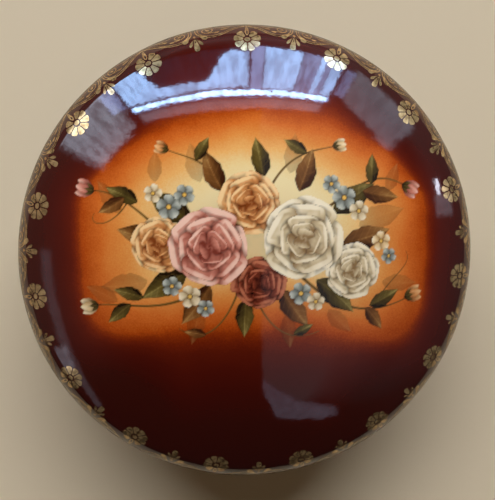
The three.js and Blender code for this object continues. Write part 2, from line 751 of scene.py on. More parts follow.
@dataclass(frozen=True)
class Gilding:
    """Fired gold, bright where it is whole and olive where it has worn thin."""

    name: str = "gilding"
    bright: tuple = linear(218, 188, 136)
    worn: tuple = linear(150, 123, 82)
    wear_size: float = 1.3 * MM
    wear_range: Pair = (0.38, 0.62)
    metallic: float = 0.72
    rough_size: float = 0.8 * MM
    rough_range: Pair = (0.06, 0.2)
    hammer_size: float = 1.8 * MM
    hammer_depth: float = 0.003 * MM
    stroke_size: float = 0.25 * MM
    stroke_depth: float = 0.0006 * MM

    def make(self) -> Material:
        """Builds the material."""
        board = NodeBoard(bpy.data.materials.new(self.name))
        point = board.object_point()
        stops = list(zip(self.wear_range, (self.worn, self.bright)))
        wear = board.ramp(board.noise(point, self.wear_size, 6.0, 0.6), stops)
        board.link(wear, board.surface.inputs["Base Color"])
        board.surface.inputs["Metallic"].default_value = self.metallic
        rough = board.add("ShaderNodeMapRange")
        board.link(board.noise(point, self.rough_size, 4.0), rough.inputs["Value"])
        rough.inputs["To Min"].default_value = self.rough_range[0]
        rough.inputs["To Max"].default_value = self.rough_range[1]
        board.link(rough.outputs["Result"], board.surface.inputs["Roughness"])
        hammered = board.bump(board.noise(point, self.hammer_size, 1.0), self.hammer_depth)
        brushed = board.bump(board.noise(point, self.stroke_size, 2.0), self.stroke_depth, hammered)
        board.link(brushed, board.surface.inputs["Normal"])
        return board.owner


@dataclass
class Finishes:
    """The materials that more than one piece shares."""

    lid_ground: Material = field(default_factory=DarkGlaze("lid_ground", True).make)
    base_ground: Material = field(default_factory=DarkGlaze("base_ground", False).make)
    white: Material = field(default_factory=WhiteGlaze().make)
    bare: Material = field(default_factory=BarePorcelain().make)
    gold: Material = field(default_factory=Gilding().make)


@dataclass
class Shell:
    """The porcelain body of the lid or the base."""

    body: str
    form: LidForm | BaseForm
    ground: Material
    finishes: Finishes

    def build(self) -> Piece:
        """Turns the body and dresses it."""
        materials = (self.ground, self.finishes.white, self.finishes.bare)
        piece = Wheel.turn(f"{self.body}_shell", self.form.outline(), materials)
        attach(piece, self.body)
        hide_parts(self.body)
        return piece


@dataclass(frozen=True)
class PetalShape:
    """How a gilt petal widens from its root and rounds off at its tip.

    Attributes:
        root: Width at the root, as a share of the full width.
        full: Where it is widest, 0 to 1.
        rise: 1 for straight sides up to there, 2 for round ones.
        fall: The same for the tip, and above 2 for a blunt one.
    """

    root: float
    full: float
    rise: float
    fall: float

    def width(self, run: Array) -> Array:
        """Gives the share of the full width at places from the root, 0, to the tip, 1."""
        before = np.clip(run / self.full, 0, 1)
        beyond = np.clip((run - self.full) / (1 - self.full), 0, 1)
        risen = self.root + (1 - self.root) * (1 - (1 - before) ** self.rise) ** (1 / self.rise)
        return risen * (1 - beyond**self.fall) ** (1 / self.fall)


class Petal(Enum):
    """Outlines of the gilt petals, lobes and dots."""

    OVAL = PetalShape(0.0, 0.5, 2.0, 2.0)
    DROP = PetalShape(0.05, 0.68, 1.0, 2.0)
    FAN = PetalShape(0.3, 0.76, 1.0, 2.6)
    DIAMOND = PetalShape(0.05, 0.5, 1.0, 1.1)


class Brush:
    """Draws thin gilt shapes flat on the bench, in millimetres, for laying on the porcelain.

    Attributes:
        FACE: Height of the gilt face over the glaze.
        BACK: Height of its hidden back.
        BRIM: Points of a round shape above this share of its height belong to the face.
        EDGE: Power that pushes a round shape's rings out towards its edge, for a narrow bevel.
        POLE: Points nearer to the middle than this stay there.
        TINY: Smallest number to divide by.
        RING: Radius of the torus that a ring is made of, with a tube of radius 1.
    """

    FACE = 0.03
    BACK = -0.05
    BRIM = -0.05
    EDGE = 0.15
    POLE = 0.01
    TINY = 1e-6
    RING = 4.0

    @staticmethod
    def press(piece: Piece) -> Piece:
        """Presses a round shape flat, its face just above the glaze and its back under it."""
        points = points_of(piece)
        face = points[:, 2] > Brush.BRIM * points[:, 2].max()
        points[:, 2] = np.where(face, Brush.FACE, Brush.BACK)
        set_points(piece, points)
        return piece

    @staticmethod
    def line(route: Sequence[Pair], widths: Sequence[float]) -> Piece:
        """Draws a gilt line that may swell and taper.

        Args:
            route: Points that the line is drawn through, across and along.
            widths: Width at each point.

        Returns:
            The flat line.
        """
        bpy.ops.object.select_all(action="DESELECT")
        bpy.ops.curve.primitive_bezier_curve_add(location=(0, 0, 0))
        curve = bpy.context.object
        spline = curve.data.splines[0]
        spline.bezier_points.add(len(route) - 2)
        for knot, (across, along), width in zip(spline.bezier_points, route, widths):
            knot.co = (across, along, 0)
            knot.radius = width
            knot.handle_left_type = knot.handle_right_type = "AUTO"
        curve.data.resolution_u = 5
        curve.data.bevel_depth = 0.5
        curve.data.bevel_resolution = 1
        curve.data.use_fill_caps = True
        bpy.ops.object.convert(target="MESH")
        return Brush.press(bpy.context.object)

    @staticmethod
    def petal(shape: Petal, start: Pair, end: Pair, width: float) -> Piece:
        """Draws a petal, lobe or dot.

        Args:
            shape: Its outline.
            start: Its root.
            end: Its tip.
            width: Greatest width.

        Returns:
            The flat petal.
        """
        bpy.ops.object.select_all(action="DESELECT")
        bpy.ops.mesh.primitive_uv_sphere_add(segments=14, ring_count=4, radius=1, location=(0, 0, 0))
        piece = bpy.context.object
        points = points_of(piece)
        gap = np.maximum(np.hypot(points[:, 0], points[:, 1]), Brush.TINY)
        spread = points[:, :2] * (gap ** (Brush.EDGE - 1) * (gap > Brush.POLE))[:, None]
        run = np.clip((spread[:, 0] + 1) / 2, 0, 1)
        aside = spread[:, 1] / np.sqrt(np.maximum(1 - spread[:, 0] ** 2, Brush.TINY))
        begin, finish = np.array(start), np.array(end)
        axis = finish - begin
        side = np.array([-axis[1], axis[0]]) / np.hypot(*axis)
        half = np.clip(aside, -1, 1) * shape.value.width(run) * width / 2
        points[:, :2] = begin + run[:, None] * axis + half[:, None] * side
        set_points(piece, points)
        return Brush.press(piece)

    @staticmethod
    def ring(width: float, reach: float) -> Piece:
        """Draws a line that runs once round, as a flat drawing one turn wide.

        Args:
            width: Width of the line.
            reach: How far in from the widest circle it runs.

        Returns:
            The flat line, whose places across are parts of a full turn.
        """
        bpy.ops.object.select_all(action="DESELECT")
        bpy.ops.mesh.primitive_torus_add(
            major_segments=Wheel.SIDES, minor_segments=8, major_radius=Brush.RING, minor_radius=1
        )
        piece = bpy.context.object
        points = points_of(piece)
        aside = np.hypot(points[:, 0], points[:, 1]) - Brush.RING
        turn = np.arctan2(points[:, 1], points[:, 0])
        points[:, 0] = turn
        points[:, 1] = reach + np.sign(aside) * np.abs(aside) ** Brush.EDGE * width / 2
        set_points(piece, points)
        return Brush.press(piece)


def points_of(piece: Piece) -> Array:
    """Gives the places of a piece's vertices as rows."""
    values = np.empty(len(piece.data.vertices) * 3)
    piece.data.vertices.foreach_get("co", values)
    return values.reshape(-1, 3)


def set_points(piece: Piece, points: Array) -> None:
    """Moves a piece's vertices."""
    piece.data.vertices.foreach_set("co", points.ravel())
    piece.data.update()


def rescale(piece: Piece, column: int, times: float = 1.0, plus: float = 0.0) -> None:
    """Multiplies one coordinate of a piece's vertices and adds to it."""
    points = points_of(piece)
    points[:, column] = points[:, column] * times + plus
    set_points(piece, points)


def select(*pieces: Piece) -> None:
    """Selects some pieces alone and makes the first one active."""
    bpy.ops.object.select_all(action="DESELECT")
    for piece in pieces:
        piece.select_set(True)
    bpy.context.view_layer.objects.active = pieces[0]


def edit_all(operator: Callable[..., set[str]], **settings: object) -> None:
    """Applies an edit mode operator to the whole of the active piece."""
    bpy.ops.object.mode_set(mode="EDIT")
    bpy.ops.mesh.select_all(action="SELECT")
    operator(**settings)
    bpy.ops.object.mode_set(mode="OBJECT")


def join(pieces: Sequence[Piece], name: str) -> Piece:
    """Joins pieces into one.

    Args:
        pieces: The pieces to join.
        name: Name of the result.

    Returns:
        The joined piece.
    """
    select(*pieces)
    bpy.ops.object.join()
    result = bpy.context.object
    result.name = name
    return result


def copy_of(piece: Piece) -> Piece:
    """Copies a piece with its own mesh."""
    select(piece)
    bpy.ops.object.duplicate(linked=False)
    return bpy.context.object


def mirrored(piece: Piece) -> Piece:
    """Copies a flat drawing to the other side of its axis."""
    twin = copy_of(piece)
    rescale(twin, 0, times=-1)
    edit_all(bpy.ops.mesh.flip_normals)
    return twin


@dataclass
class BorderPlan:
    """Places of the gilt flowers round the lid, counted clockwise from the one at the back.

    Attributes:
        count: Number of flowers.
        first: Direction of the first one, in degrees.
        step: Turn from one to the next, in degrees.
        flower_reach: How far in from the widest circle they stand, in millimetres.
        slip: How much nearer to the edge the scrolls lie at the front than at the back.
    """

    count: int = 15
    first: float = 91.0
    step: float = 23.84
    flower_reach: float = 10.15
    slip: float = 0.8

    def flowers(self) -> list[float]:
        """Gives the flowers' directions in degrees."""
        return [self.first - k * self.step for k in range(self.count)]

    def scroll_slip(self, direction: float) -> float:
        """Gives how much nearer to the edge the scrollwork lies than at the back."""
        return self.slip * (1 - math.sin(math.radians(direction))) / 2

    def bays(self) -> list[Pair]:
        """Gives the middle and width of each bay between two flowers, in degrees."""
        places = self.flowers() + [self.first - 360]
        return [((a + b) / 2, a - b) for a, b in zip(places, places[1:])]


@dataclass
class GiltBorder:
    """A gilt border round one of the turned pieces: scrolled bays, palmettes, daisies and lines.

    Attributes:
        form: Outline of the piece that it is laid on.
        plan: Where its flowers stand.
        body: Name of the piece that it moves with.
        offset: How far the drawing is moved in from the widest circle.
        lines: Reach, width and name of each line that runs round the piece.
        PETALS: Petals of a daisy. A stem takes the place of one more.
        GAP: Turn from one petal to the next, in degrees.
        INWARD: How much longer a petal is that points away from the edge.
        UPRIGHT: How much shorter one is that points across the border.
        STEM: Start, end and width of its stem.
    """

    form: LidForm | BaseForm
    plan: BorderPlan
    gold: Material
    body: str
    offset: float
    lines: Sequence[tuple[float, float, str]]

    PETALS = 8
    GAP = 40.0
    EYE = (1.4, 1.2)
    PETAL_ROOT = 0.95
    PETAL_TIP = 3.22
    PETAL_WIDTH = 1.66
    INWARD = 0.15
    UPRIGHT = 0.1
    STEM = (-5.4, -1.15, 1.0)
    CREASE = 30

    def __post_init__(self) -> None:
        """Works out the circle that the flowers stand on."""
        self.ring = float(self.form.place(np.array([self.plan.flower_reach + self.offset]))[0][0])
        self.nominal = math.radians(self.plan.step) * self.ring

    def lay(self, piece: Piece, direction: float, stretch: float) -> None:
        """Lays a flat drawing on the piece.

        Args:
            piece: Drawing in millimetres, across and in from the widest circle.
            direction: Where its axis goes, in degrees.
            stretch: Widening of the drawing across.
        """
        points = points_of(piece)
        radius, height, slope = self.form.place(points[:, 1] + self.offset)
        turn = math.radians(direction) - points[:, 0] * stretch / self.ring
        out = radius + points[:, 2] * np.cos(slope)
        up = height + points[:, 2] * np.sin(slope)
        laid = np.stack([out * np.cos(turn), out * np.sin(turn), up], axis=1) * MM
        set_points(piece, laid)

    def dress(self, piece: Piece) -> Piece:
        """Gives a finished border piece its gold, its normals and its body."""
        select(piece)
        edit_all(bpy.ops.mesh.normals_make_consistent, inside=False)
        bpy.ops.object.shade_smooth_by_angle(angle=math.radians(self.CREASE))
        piece.data.materials.clear()
        piece.data.materials.append(self.gold)
        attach(piece, self.body)
        return piece

    def daisy(self) -> Piece:
        """Draws one daisy round its own middle, with its stem towards the rim."""
        length, width = self.EYE
        parts = [Brush.petal(Petal.OVAL, (-length / 2, 0.0), (length / 2, 0.0), width)]
        for number in range(1, self.PETALS + 1):
            turn = math.radians(number * self.GAP)
            inward = -math.cos(turn)
            reach = self.PETAL_TIP + self.INWARD * inward - self.UPRIGHT * abs(inward)
            root = (self.PETAL_ROOT * math.sin(turn), self.PETAL_ROOT * inward)
            tip = (reach * math.sin(turn), reach * inward)
            parts.append(Brush.petal(Petal.FAN, root, tip, self.PETAL_WIDTH))
        start, end, width = self.STEM
        parts.append(Brush.petal(Petal.DROP, (0.0, start), (0.0, end), width))
        return join(parts, "daisy")

    def half_bay(self) -> Piece:
        """Draws one half of a bay's scrollwork, from its axis to the flower's stem."""
        outer = [
            (10.75, 4.9), (9.2, 5.9), (7.5, 7.0), (6.2, 7.9), (4.67, 8.5), (3.5, 8.64),
            (2.2, 8.4), (1.27, 7.8), (0.6, 6.7), (0.42, 5.5), (0.42, 4.2),
        ]
        inner = [
            (10.4, 4.9), (9.2, 5.4), (7.5, 6.4), (6.2, 7.4), (4.67, 8.0), (3.5, 8.14),
            (2.4, 7.9), (1.64, 7.4), (1.08, 6.5), (0.9, 5.5), (0.95, 4.2),
        ]
        across, along, steps = 2.87, 5.8, 12
        curl = [(1.0 + 0.01 * k, QUARTER - k * FULL_TURN / steps) for k in range(steps)]
        volute = [(across + r * math.cos(a), along + r * math.sin(a)) for r, a in curl]
        leaf = [(4.4, 4.6), (5.6, 5.2), (7.2, 4.9), (9.0, 4.5), (10.6, 4.2)]
        tendril = [(0.3, 3.9), (1.6, 4.3), (3.0, 4.1), (4.6, 3.8)]
        parts = [
            Brush.line(outer, [0.30] + [0.22] * 9 + [0.18]),
            Brush.line(inner, [0.26] + [0.18] * 9 + [0.15]),
            Brush.line(volute + [(3.5, 7.0), (5.0, 6.9)], [0.25] * steps + [0.22, 0.1]),
            Brush.petal(Petal.OVAL, (2.5, 5.5), (3.25, 6.1), 0.6),
            Brush.petal(Petal.OVAL, (4.1, 7.35), (5.2, 7.0), 0.46),
            Brush.petal(Petal.DROP, (7.5, 5.55), (5.5, 6.3), 0.66),
            Brush.line(leaf, [0.15, 0.26, 0.3, 0.22, 0.15]),
            Brush.line(tendril, [0.15, 0.26, 0.28, 0.15]),
        ]
        return join(parts, "half_bay")

    def palmette(self) -> Piece:
        """Draws the palmette that hangs from the middle of a bay."""
        parts = [Brush.petal(Petal.DIAMOND, (0.0, 7.05), (0.0, 8.05), 0.8)]
        parts.append(Brush.petal(Petal.FAN, (0.0, 8.3), (0.0, 11.85), 1.4))
        for side in (-1, 1):
            parts.append(Brush.petal(Petal.DROP, (side * 0.9, 6.9), (side * 2.75, 8.95), 1.35))
            parts.append(Brush.petal(Petal.DROP, (side * 0.35, 8.3), (side * 1.5, 10.4), 0.75))
        return join(parts, "palmette")

    def line_round(self, reach: float, width: float, name: str) -> Piece:
        """Lays a gilt line round the whole piece.

        Args:
            reach: How far in from the widest circle it runs.
            width: Width of the line.
            name: Name of the line.

        Returns:
            The line, dressed.
        """
        flat = Brush.ring(width, reach - self.offset)
        flat.name = f"{self.body}_{name}"
        rescale(flat, 0, times=self.ring)
        self.lay(flat, 0.0, 1.0)
        return self.dress(flat)

    def build(self) -> list[Piece]:
        """Builds the whole border."""
        bay = self.half_bay()
        whole = join([bay, mirrored(bay)], "bay")
        palmette, daisy = self.palmette(), self.daisy()
        rescale(daisy, 1, plus=self.plan.flower_reach)
        bays, palmettes, daisies = [], [], []
        for middle, width in self.plan.bays():
            stretch = math.radians(width) * self.ring / self.nominal
            scroll, leaf = copy_of(whole), copy_of(palmette)
            rescale(scroll, 1, plus=-self.plan.scroll_slip(middle))
            self.lay(scroll, middle, stretch)
            self.lay(leaf, middle, 1.0)
            bays.append(scroll)
            palmettes.append(leaf)
        for direction in self.plan.flowers():
            flower = copy_of(daisy)
            self.lay(flower, direction, 1.0)
            daisies.append(flower)
        for pattern in (whole, palmette, daisy):
            bpy.data.objects.remove(pattern)
        return [
            self.dress(join(bays, f"{self.body}_gilt_scrolls")),
            self.dress(join(palmettes, f"{self.body}_gilt_palmettes")),
            self.dress(join(daisies, f"{self.body}_gilt_daisies")),
        ] + [self.line_round(*line) for line in self.lines]


@dataclass(frozen=True)
class Tint:
    """A china paint that runs from its shade over its body to its light."""

    shade: tuple
    body: tuple
    light: tuple

    def mix(self, tone: Array) -> Array:
        """Gives the colour for tones from 0, shade, to 1, light."""
        shade, body, light = (np.array(colour[:3]) for colour in (self.shade, self.body, self.light))
        tone = 2 * np.clip(tone, 0, 1)[:, None]
        return shade + (body - shade) * np.minimum(tone, 1) + (light - body) * np.maximum(tone - 1, 0)


class Paint(Enum):
    """The paints of the flower spray."""

    ROSE = Tint(linear(120, 52, 40), linear(198, 124, 106), linear(236, 196, 178))
    CREAM = Tint(linear(150, 100, 52), linear(220, 192, 144), linear(242, 230, 202))
    PEACH = Tint(linear(124, 60, 24), linear(208, 142, 84), linear(240, 204, 150))
    WINE = Tint(linear(58, 20, 12), linear(120, 52, 34), linear(186, 112, 82))
    WHITE = Tint(linear(138, 108, 70), linear(210, 192, 156), linear(240, 229, 204))
    LEAF = Tint(linear(42, 28, 12), linear(96, 80, 36), linear(160, 144, 82))
    OLD_LEAF = Tint(linear(58, 28, 12), linear(124, 80, 38), linear(180, 138, 80))
    MIST = Tint(linear(84, 84, 76), linear(138, 144, 138), linear(206, 208, 196))
    HONEY = Tint(linear(120, 70, 16), linear(206, 150, 52), linear(246, 214, 120))
    STALK = Tint(linear(62, 38, 16), linear(106, 76, 34), linear(146, 116, 60))


class Board:
    """Colour and cover of the spray on a set of points, in millimetres seen from above."""

    def __init__(self, across: Array, along: Array, seed: int = 11) -> None:
        """Starts with bare points.

        Args:
            across: Places of the points from left to right.
            along: Places of the points from front to back.
            seed: Start of the small irregularities.
        """
        self.across, self.along = across, along
        self.colour = np.zeros((len(across), 3))
        self.cover = np.zeros(len(across))
        self.random = np.random.default_rng(seed)

    def near(self, place: Pair, reach: float) -> Array:
        """Finds the points in a square round a place."""
        wide = np.abs(self.across - place[0]) < reach
        return np.flatnonzero(wide & (np.abs(self.along - place[1]) < reach))

    def lay(self, where: Array, cover: Array, colour: Array) -> None:
        """Lays paint over what is there.

        Args:
            where: Numbers of the points.
            cover: How far the paint hides what is under it, 0 to 1.
            colour: Its colour at each point.
        """
        keep = 1 - cover
        self.colour[where] = self.colour[where] * keep[:, None] + colour * cover[:, None]
        self.cover[where] = self.cover[where] * keep + cover

    def dim(self, where: Array, share: Array) -> None:
        """Shades what is already painted."""
        self.colour[where] *= (1 - share)[:, None]


def smooth(value: Array, low: float, high: float) -> Array:
    """Rises smoothly from 0 to 1 between two values."""
    share = np.clip((value - low) / (high - low), 0, 1)
    return share * share * (3 - 2 * share)


@dataclass
class Blade:
    """One brush-shaped form, a petal or a leaf, with its shading.

    Attributes:
        turn: Direction that it grows in.
        length: From root to tip.
        width: At its widest.
        full: Where along it is widest, 0 to 1.
        point: Sharpness of its ends.
        bend: Sideways bow at its tip, as a share of its length.
        gain: Contrast from root to tip.
        lift: Lightening of the whole.
        veins: Strength of leaf ribs.
        shadow: Strength of the shade that it throws on what lies under it.
        strength: How far it covers.
        rolled: How far its lip is rolled over, 0 to 1.
        EDGE: Width of its soft edge, in millimetres.
        RUFFLE: Strength of the waves of its edge.
        RUFFLES: Numbers of slow and quick waves round it.
        TIP: How near to its ends its width is still worked out.
        SHADE_REACH: How far its shade goes, in millimetres, and at most as a share of its length.
        ROLL: Width of a rolled lip, as a share of its width.
        LIP_LIGHT: Lightening of a rolled lip.
        FOLD_SHADE: Darkening behind it.
        RIM: Width of the darker line along its edge, in millimetres.
        RIM_SHADE: Darkening of that line.
        RIB: Half-width of a leaf's middle rib, in millimetres.
        BARBS: Slant of the side ribs, and how close they stand.
        FAR_SIDE: Darkening of a leaf's far half.
    """

    root: Pair
    turn: float
    length: float
    width: float
    tint: Tint
    full: float = 0.6
    point: float = 0.6
    bend: float = 0.0
    gain: float = 0.9
    lift: float = 0.1
    veins: float = 0.0
    shadow: float = 0.4
    strength: float = 1.0
    rolled: float = 0.0

    EDGE = 0.25
    RUFFLE = 0.045
    RUFFLES = (5, 9)
    TIP = 1e-4
    SHADE_REACH = (1.6, 0.25)
    ROLL = 0.16
    LIP_LIGHT = 0.24
    FOLD_SHADE = 0.17
    RIM = 0.3
    RIM_SHADE = 0.12
    RIB = 0.22
    BARBS = (0.9, 3.6)
    FAR_SIDE = 0.16

    def paint_on(self, board: Board) -> None:
        """Paints the blade over what the board holds."""
        where = board.near(self.root, self.length * 1.25 + 2)
        right, up = board.across[where] - self.root[0], board.along[where] - self.root[1]
        cos, sin = math.cos(self.turn), math.sin(self.turn)
        run = (right * cos + up * sin) / self.length
        side = -right * sin + up * cos - self.bend * self.length * run * run
        phase = board.random.uniform(0, FULL_TURN, 3)
        inner = np.clip(run, self.TIP, 1 - self.TIP)
        taper = (1 - self.full) / self.full
        swell = (inner / self.full) * ((1 - inner) / (1 - self.full)) ** taper
        turned = np.arctan2(side, (run - self.full) * self.length)
        slow, quick = (np.sin(count * turned + start) for count, start in zip(self.RUFFLES, phase))
        wavy = 1 + self.RUFFLE * (slow + 0.7 * quick)
        half = swell ** (0.75 * self.point) * 0.5 * self.width * wavy
        edge = np.minimum(half - np.abs(side), np.minimum(run, 1 - run) * self.length + 0.05)
        cover = smooth(edge, -self.EDGE / 2, self.EDGE / 2) * self.strength
        reach = min(self.SHADE_REACH[0], self.SHADE_REACH[1] * self.length)
        board.dim(where, self.shadow * smooth(edge, -reach, 0.0) ** 1.5 * (1 - cover))
        board.lay(where, cover, self.tint.mix(self.tone(inner, side, half, edge, phase)))

    def tone(self, run: Array, side: Array, half: Array, edge: Array, phase: Array) -> Array:
        """Works out how light the blade is at each point.

        Args:
            run: How far along it, 0 to 1.
            side: How far from its middle line.
            half: Half of its width there.
            edge: How far inside its edge.
            phase: Irregularities of this blade.

        Returns:
            Tones from 0 to 1.
        """
        across = np.clip(side / np.maximum(half, 0.05), -1, 1)
        rising = self.gain * (0.08 + 0.8 * run**1.3)
        crowned = 0.12 * across - 0.22 * across**2
        streaks = 0.035 * np.sin(across * 6 + phase[2] + run * 3) + 0.025 * np.sin(across * 15 + phase[0])
        blotches = 0.05 * np.sin(run * self.length * 1.3 + phase[1]) * np.sin(side * 1.7 + phase[2])
        tone = self.lift + rising + crowned + streaks + blotches
        inside = smooth(edge, 0.0, self.RIM)
        if self.rolled:
            roll = self.ROLL * self.width * self.rolled
            lip = inside * (1 - smooth(edge, roll, roll + 0.25))
            fold = smooth(edge, roll * 0.8, roll + 0.2) * (1 - smooth(edge, roll + 0.2, roll + 1.3))
            tone += self.LIP_LIGHT * lip * smooth(run, 0.55, 0.85)
            tone -= self.FOLD_SHADE * fold * smooth(run, 0.5, 0.8)
        tone -= self.RIM_SHADE * (1 - inside)
        if self.veins:
            rib = np.exp(-((side / self.RIB) ** 2))
            slant, close = self.BARBS
            barbs = np.sin((run * self.length - np.abs(side) * slant) * close)
            tone += self.veins * (0.6 * rib + 0.25 * smooth(barbs, 0.55, 1.0)) - self.FAR_SIDE * (side < 0)
        return tone


class FlowerSpray:
    """A spray of roses, small blossoms, buds and leaves for the lid's amber field.

    Places and lengths are in millimetres from the middle of the lid. Turns are in degrees for leaves and
    buds, and in radians for roses and blossoms.

    Attributes:
        ROSE_RINGS: Count, root, length, width, lift and roll of the petals in each ring, from outside in.
        WASHES: Middle, half-sizes, colour and strength of the shades that ground the spray.
        STALKS: Width and four guiding points of each stem.
        GHOST_LEAVES: Place, turn, length and bend of the faint leaves behind the others.
        GHOST_STRENGTH: How far those cover.
        LEAVES: Place, turn, length, paint and bend of the leaves.
        BUDS: Place, turn, length and paint of the buds.
        ROSES: Place, radius, paint and turn of the roses.
        BLOSSOMS: Place, radius, turn and paint of the small blossoms.
    """

    WASHES = (
        ((0, -9), (34, 7), linear(170, 84, 32), 0.2),
        ((-2, 6), (28, 14), linear(170, 112, 56), 0.3),
    )
    ROSE_RINGS = (
        (6, 0.22, 0.80, 1.06, 0.14, 0.9),
        (5, 0.14, 0.68, 0.96, 0.08, 0.8),
        (4, 0.06, 0.52, 0.80, 0.00, 0.6),
        (3, 0.02, 0.38, 0.62, -0.10, 0.4),
        (2, 0.00, 0.24, 0.44, -0.16, 0.0),
    )
    STALKS = (
        (0.8, (-6, 2), (-20, 2), (-26, 18), (-37, 17)),
        (0.8, (-6, 0), (-18, -12), (-26, -8), (-36, -9)),
        (0.8, (6, 3), (18, -12), (28, -12), (37, -8)),
        (0.8, (8, 8), (20, 14), (26, 24), (36, 18)),
        (0.6, (2, 14), (6, 26), (14, 26), (18, 27)),
        (0.6, (-4, 12), (-8, 24), (-14, 24), (-19, 26)),
        (0.35, (-28, 15), (-32, 8), (-38, 9), (-36, 12)),
        (0.35, (28, -10), (32, -2), (38, -1), (36, 3)),
        (0.5, (0, -6), (3, -14), (8, -18), (15, -15)),
        (0.5, (-4, -6), (-7, -14), (-12, -18), (-17, -14)),
    )
    GHOST_LEAVES = (
        (-30, 12, 120, 9, 0.1), (-24, -3, 195, 11, -0.1), (-12, -9, 250, 9, 0.1), (7, -11, 285, 8, -0.1),
        (30, -4, 350, 9, 0.1), (24, 9, 25, 12, -0.1), (8, 21, 75, 9, 0.1), (-12, 19, 110, 9, -0.1),
        (-31, -8, 150, 8, 0.1), (31, 17, 60, 7, 0.1), (17, -10, 310, 8, 0.1), (-22, 19, 95, 7, -0.1),
    )
    GHOST_STRENGTH = 0.38
    LEAVES = (
        (-14, 10, 140, 12, Paint.LEAF, 0.1), (-18, 6, 175, 13, Paint.OLD_LEAF, -0.1),
        (-15, -1, 205, 12, Paint.LEAF, 0.1), (-10, -4, 240, 11, Paint.OLD_LEAF, -0.1),
        (-2, -7, 265, 9, Paint.LEAF, 0.05), (6, -5, 300, 11, Paint.OLD_LEAF, 0.1),
        (14, -3, 325, 12, Paint.LEAF, -0.1), (20, 5, 10, 12, Paint.OLD_LEAF, 0.1),
        (18, 12, 40, 12, Paint.LEAF, -0.1), (10, 17, 65, 10, Paint.OLD_LEAF, 0.1),
        (2, 20, 95, 9, Paint.LEAF, 0.1), (-7, 17, 120, 10, Paint.OLD_LEAF, -0.1),
        (-26, 14.5, 150, 8, Paint.LEAF, 0.1), (-29, 15.5, 215, 7, Paint.OLD_LEAF, -0.1),
        (-25, -7, 160, 7, Paint.LEAF, 0.1), (-28, -8.5, 215, 7, Paint.LEAF, 0.1),
        (27, -9.5, 20, 8, Paint.LEAF, 0.1), (26, -10, 315, 7, Paint.OLD_LEAF, -0.1),
        (27, 18.5, 80, 7, Paint.LEAF, 0.1), (25, 17, 345, 9, Paint.OLD_LEAF, 0.1),
        (12, 25.5, 150, 6, Paint.LEAF, 0.0), (-13, 23.8, 60, 6, Paint.LEAF, 0.0),
        (9, -15.5, 20, 5, Paint.LEAF, 0.1), (-11, -15.5, 165, 5, Paint.OLD_LEAF, 0.1),
    )
    BUDS = (
        (-36, 17, 165, 4.6, Paint.ROSE), (-35.5, -9, 190, 4.4, Paint.CREAM), (36, -8, 15, 4.6, Paint.PEACH),
        (35, 18.5, -25, 4.6, Paint.ROSE), (18, 27, 10, 3.4, Paint.CREAM), (-19, 26, 160, 3.4, Paint.PEACH),
    )
    ROSES = (
        (1.0, -3.5, 5.8, Paint.WINE, 0.5), (-21.5, 5.0, 6.2, Paint.PEACH, 1.1),
        (22.5, -1.0, 6.4, Paint.WHITE, 0.2), (-1.0, 14.5, 6.6, Paint.PEACH, 2.2),
        (-10, 4.5, 8.6, Paint.ROSE, 0.9), (11, 6.5, 9.0, Paint.WHITE, 1.7),
    )
    BLOSSOMS = (
        (-19, 13.5, 2.5, 0.3, Paint.MIST), (-15.5, 16.2, 2.1, 0.8, Paint.MIST),
        (-22.5, 16.5, 1.9, 0.1, Paint.WHITE), (20.5, 15.5, 2.5, 0.5, Paint.MIST),
        (24, 12.5, 2.1, 0.2, Paint.WHITE), (17.5, 18.6, 1.9, 1.0, Paint.MIST),
        (-14.5, -6.5, 2.3, 0.6, Paint.WHITE), (-18.5, -4.2, 2.0, 0.1, Paint.MIST),
        (-11, -9.2, 1.8, 0.9, Paint.MIST), (10.5, -6, 2.3, 0.7, Paint.MIST),
        (14, -8, 1.9, 0.2, Paint.WHITE), (29.5, 5.5, 2.1, 0.4, Paint.CREAM),
        (31.5, 2, 1.7, 0.9, Paint.MIST),
    )

    def paint(self, board: Board) -> None:
        """Paints the whole spray, from what lies deepest to what lies on top."""
        for wash in self.WASHES:
            self.wash(board, *wash)
        for *place, turn, length, bend in self.GHOST_LEAVES:
            self.leaf(board, place, turn, length, Paint.OLD_LEAF, bend, self.GHOST_STRENGTH)
        for width, *points in self.STALKS:
            self.stalk(board, points, width)
        for *place, turn, length, paint, bend in self.LEAVES:
            self.leaf(board, place, turn, length, paint, bend)
        for *place, turn, length, paint in self.BUDS:
            self.bud(board, place, math.radians(turn), length, paint)
        for *place, radius, paint, turn in self.ROSES:
            self.rose(board, place, radius, paint, turn)
        for *place, radius, turn, paint in self.BLOSSOMS:
            self.blossom(board, place, radius, turn, paint)

    @staticmethod
    def wash(board: Board, place: Pair, halves: Pair, colour: tuple, strength: float) -> None:
        """Lays a soft shade that grounds the spray.

        Args:
            board: What is painted.
            place: Middle of the shade.
            halves: Half of its width and height.
            colour: Its colour.
            strength: How far it covers in its middle.
        """
        gap = np.hypot((board.across - place[0]) / halves[0], (board.along - place[1]) / halves[1])
        board.lay(np.arange(len(gap)), strength * (1 - smooth(gap, 0.2, 1.0)), np.array([colour[:3]]))

